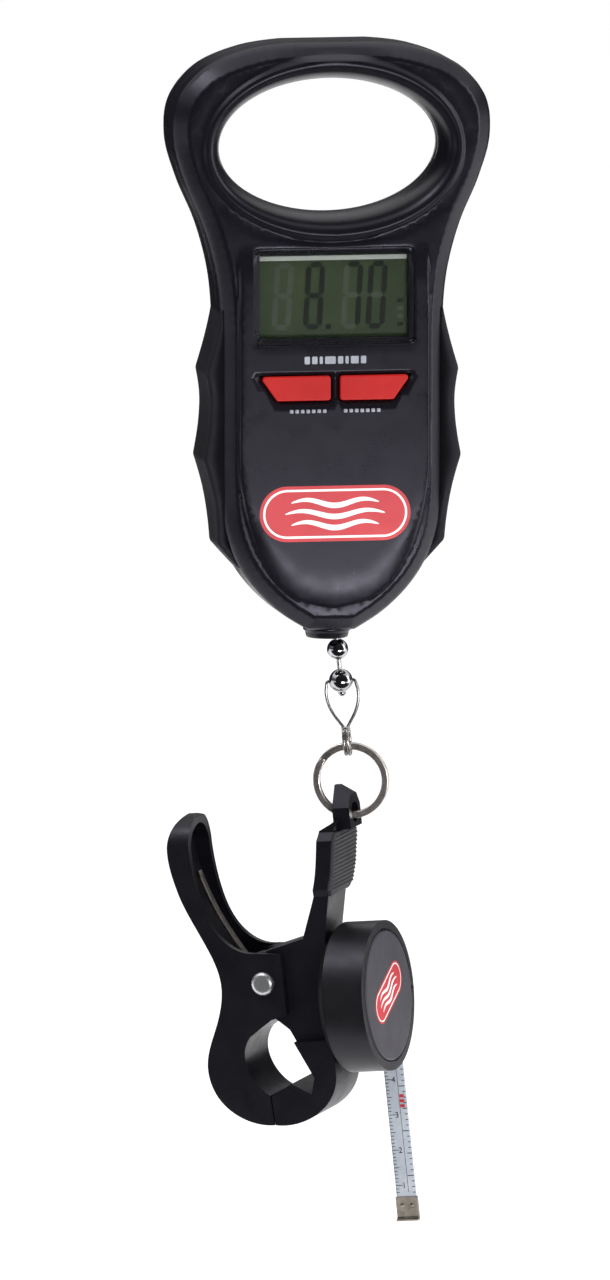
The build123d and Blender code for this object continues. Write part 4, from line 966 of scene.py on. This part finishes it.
def tape_pieces():
    """Printed blade as a straight strip, its scale marks and its riveted tip."""
    blade = Form()
    section = [(-3.0, -0.14), (-2.5, -0.07), (-1.3, -0.02), (0, 0), (1.3, -0.02), (2.5, -0.07),
               (3.0, -0.14), (2.9, -0.24), (0, -0.24), (-2.9, -0.24)]
    levels = np.linspace(-14.0, -66.6, 54)
    rings = [[tape_place(across, w, rise) for across, rise in section] for w in levels]
    blade.skin(rings, caps=True)
    ticks, red = Form(), Form()
    for mm in range(8, 50):
        long = 2.1 if mm % 10 == 0 else 1.5 if mm % 5 == 0 else 0.9
        tape_tick(ticks, -2.85, long, mm)
    inch = 25.4
    for k in range(5, 32):
        long = 1.9 if k % 8 == 0 else 1.3 if k % 4 == 0 else 0.8
        tape_tick(ticks, 2.85 - long, long, k * inch / 16, 0.2)
    tape_tick(ticks, 0.7, 0.1, 28, 40.0)
    for low in (32.0, 33.4, 34.8):
        tape_tick(red, 0.9, 1.3, low + 0.5, 0.9)
    pieces = [blade.piece("tape_strip", FILM, "gripper_frame", "tape_film", "tape_blade"),
              ticks.piece("tape_ticks", SEGMENT, "gripper_frame", "tape_film"),
              red.piece("tape_red_marks", RED_INK, "gripper_frame", "tape_film")]
    for number, mm in (("1", 10), ("2", 20), ("3", 30), ("4", 40)):
        curve = bpy.data.curves.new("tape_number", "FONT")
        curve.body = number
        curve.size = 2.3
        curve.extrude = 0.02
        curve.resolution_u = 3
        text = bpy.data.objects.new("tape_number", curve)
        bpy.context.scene.collection.objects.link(text)
        bpy.context.view_layer.update()
        flat = bpy.data.meshes.new_from_object(text.evaluated_get(bpy.context.evaluated_depsgraph_get()))
        bpy.data.objects.remove(text)
        figure = Form()
        figure.add([tape_place(v.co.x - 0.95, TAPE_TIP + mm - 0.8 + v.co.y, 0.02 + v.co.z)
                    for v in flat.vertices], [tuple(p.vertices) for p in flat.polygons])
        pieces.append(figure.piece("tape_number_" + number, SEGMENT, "gripper_frame", "tape_film"))
    for piece in pieces:
        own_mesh(piece)
    hook = Form()
    profile = [(-15.55, -66.1), (-15.5, -71.6), (-15.2, -72.15), (-14.5, -72.3), (-14.5, -72.85),
               (-15.9, -72.85), (-16.35, -72.5), (-16.4, -66.1)]
    hook.prism([(v, w) for v, w in profile], lambda v, w, u: grip_place(TAPE_MIDDLE + u, w, v), -3.25, 3.25)
    hook.piece("tape_tip", HOOK_METAL, "tape_end", "tape_end_metal", "tape_hook", bevel=0.1)
    rivets = Form()
    for u in (TAPE_MIDDLE - 1.4, TAPE_MIDDLE + 1.4):
        rivets.lathe([(0.02, 0.28), (0.5, 0.22), (0.72, 0.05), (0.75, -0.1)],
                     lambda a, b, v: grip_place(a, b, -15.52 + v), (u, -68.6), 20)
    rivets.piece("tape_rivets", HOOK_METAL, "tape_end", "tape_end_metal")


tape_pieces()


def button_spring_piece():
    """Wave washer under the tape button, in its free wavy shape."""
    form = Form()
    waves, low, high, leaf = 3, 30.27, 31.18, 0.2
    rings = []
    for k in range(73):
        turn = 2 * pi * k / 72
        foot = low + (high - low - leaf) * (0.5 + 0.5 * sin(waves * turn))
        rings.append([
            drum_place(r * cos(turn), r * sin(turn), u)
            for r, u in ((1.35, foot), (2.05, foot), (2.05, foot + leaf), (1.35, foot + leaf))
        ])
    form.skin(rings)
    spring = form.piece("button_wave_spring", SPRING_STEEL, "gripper_frame", "spring_steel",
                        "tape_button_spring")
    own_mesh(spring)


button_spring_piece()


# ------------------------------------------------------------------ CAD nodes that stay
NODE_LOOKS = {
    "lcd_lens": (LENS, 0), "lcd_panel": (GLASS, 0), "lcd_holder": (WHITE_PLASTIC, 0.1),
    "zebra_strips": (RUBBER, 0), "main_board": (GREEN_BOARD, 0), "board_components": (RESIN, 0.1),
    "button_switches": (RESIN, 0.1), "board_screws": (STEEL, 0.1), "batteries": (CELL_LABEL, 0.3),
    "battery_contacts": (STEEL, 0), "battery_door": (BLACK, 0.3), "case_screws": (STEEL, 0.12),
    "load_cell": (ALLOY, 0.2), "load_cell_screws": (STEEL, 0.15), "load_stud": (STEEL, 0.15),
    "sensor_wires": (WIRE_RED, 0), "power_button": (RED, 0), "units_button": (RED, 0),
    "pull_rod": (STEEL, 0), "bead_link": (STEEL, 0), "bead_top": (CHROME, 0), "bead_bottom": (CHROME, 0),
    "left_lever": (GRIP_BLACK, 0.5), "right_lever": (GRIP_BLACK, 0.45), "pivot_pin": (ALLOY, 0),
    "pivot_washer": (STEEL, 0.1), "tape_base": (DRUM_BLACK, 0.4), "tape_case": (DRUM_BLACK, 0.3),
    # The tape button's face uses the lighter drum face material, a painted sheen.
    "tape_button": (DRUM_FACE_PAINTED_SHEEN, 0), "tape_brake": (RUBBER, 0), "tape_axle": (WHITE_PLASTIC, 0.1),
    "tape_reel": (WHITE_PLASTIC, 0.1), "tape_coil": (FILM, 0), "tape_spring": (SPRING_STEEL, 0),
    "tape_screws": (STEEL, 0.1),
}
for name, (material, rounding) in NODE_LOOKS.items():
    finish_object(frame["nodes"][name], material, rounding, 3, 32)


# ------------------------------------------------------------------ stage
VIEW_TURN, VIEW_RISE = radians(-10), radians(7)
VIEW_SPAN = 355.6
LENS_LENGTH = 800.0
VIEW_TARGET = (-6.2, 0, -138.4)


def make_floor():
    """Plain pale floor, a little below the object."""
    level = CAD_BOX[0][2] - 0.02
    mesh = bpy.data.meshes.new("floor")
    reach = 60.0
    mesh.from_pydata([(x * reach, y * reach, level) for x, y in ((-1, -1), (1, -1), (1, 1), (-1, 1))],
                     [], [(0, 1, 2, 3)])
    floor = bpy.data.objects.new("floor", mesh)
    bpy.context.scene.collection.objects.link(floor)
    material, tree, shader = nodes_of("pale floor")
    tree.links.new(ramp(tree, noise(tree, 0.6), [(0, (0.90, 0.90, 0.90)), (1, (0.93, 0.93, 0.93))]),
                   shader.inputs["Base Color"])
    shader.inputs["Roughness"].default_value = 0.9
    shader.inputs["Specular IOR Level"].default_value = 0.1
    shader.inputs["Emission Color"].default_value = (1, 1, 1, 1)
    shader.inputs["Emission Strength"].default_value = 0.18
    mesh.materials.append(material)


def make_light(name, place, size, power, target=(0, 0, -0.12)):
    """Soft rectangular light aimed at the object."""
    data = bpy.data.lights.new(name, "AREA")
    data.shape = "RECTANGLE"
    data.size, data.size_y = size
    data.energy = power
    lamp = bpy.data.objects.new(name, data)
    lamp.location = place
    lamp.rotation_euler = (Vector(place) - Vector(target)).to_track_quat("Z", "Y").to_euler()
    lamp.visible_camera = False
    bpy.context.scene.collection.objects.link(lamp)


def upright(y, left, right, foot, top):
    """Corners of an upright card."""
    return [(left, y, foot), (right, y, foot), (right, y, top), (left, y, top)]


def lying(z, left, right, near, far):
    """Corners of a card that lies flat."""
    return [(left, near, z), (right, near, z), (right, far, z), (left, far, z)]


def make_card(name, corners):
    """Dark card, out of the camera's sight, that only the object's gloss mirrors."""
    mesh = bpy.data.meshes.new(name)
    mesh.from_pydata(corners, [], [(0, 1, 2, 3)])
    card = bpy.data.objects.new(name, mesh)
    bpy.context.scene.collection.objects.link(card)
    material, tree, shader = nodes_of(name)
    tree.links.new(ramp(tree, noise(tree, 3), [(0, (0.012, 0.012, 0.014)), (1, (0.018, 0.018, 0.020))]),
                   shader.inputs["Base Color"])
    shader.inputs["Roughness"].default_value = 0.95
    shader.inputs["Specular IOR Level"].default_value = 0.0
    mesh.materials.append(material)
    card.visible_camera = False
    card.visible_diffuse = False
    card.visible_shadow = False


def make_world():
    """Even studio surround: bright above, greyer towards the horizon."""
    world = bpy.data.worlds.new("studio")
    bpy.context.scene.world = world
    world.use_nodes = True
    tree = world.node_tree
    split = tree.nodes.new("ShaderNodeSeparateXYZ")
    tree.links.new(tree.nodes.new("ShaderNodeTexCoord").outputs["Generated"], split.inputs["Vector"])
    shade = ramp(tree, split.outputs["Z"], [(0.0, (0.05, 0.05, 0.055)), (0.32, (0.16, 0.16, 0.17)),
                                            (0.55, (1.0, 1.0, 1.0)), (1.0, (1.15, 1.15, 1.15))])
    tree.links.new(shade, tree.nodes["Background"].inputs["Color"])
    tree.nodes["Background"].inputs["Strength"].default_value = 1.0


def make_camera():
    """The photograph's viewpoint, through a long lens."""
    back = Vector((sin(VIEW_TURN) * cos(VIEW_RISE), -cos(VIEW_TURN) * cos(VIEW_RISE), sin(VIEW_RISE)))
    target = Vector(VIEW_TARGET) * MM
    data = bpy.data.cameras.new("camera")
    data.lens = LENS_LENGTH
    data.clip_end = 200
    camera = bpy.data.objects.new("camera", data)
    camera.location = target + back * (VIEW_SPAN / 2 * MM * LENS_LENGTH / (data.sensor_width / 2))
    camera.rotation_euler = back.to_track_quat("Z", "Y").to_euler()
    bpy.context.scene.collection.objects.link(camera)
    bpy.context.scene.camera = camera


make_floor()
make_card("front card", upright(-0.50, -1.0, 1.0, -0.24, 0.9))
make_card("rear card", upright(0.45, -0.9, -0.03, -0.30, 0.25))
make_card("side card", upright(0.45, 0.28, 1.1, -0.30, 0.15))
make_card("low card", lying(CAD_BOX[0][2] - 0.01, -1.1, 0.5, -1.1, -0.05))
make_world()
make_light("key", (-0.9, -0.45, 1.3), (0.9, 0.5), 9)
make_light("fill", (1.1, -0.42, 0.2), (0.5, 1.0), 6)
make_light("crown", (0.0, 0.2, 1.6), (1.8, 0.8), 4)
make_light("low", (0.10, -0.42, -0.235), (0.24, 0.07), 0.85, target=(0.0, 0, -0.115))
make_camera()
bpy.context.scene.view_settings.view_transform = "Standard"
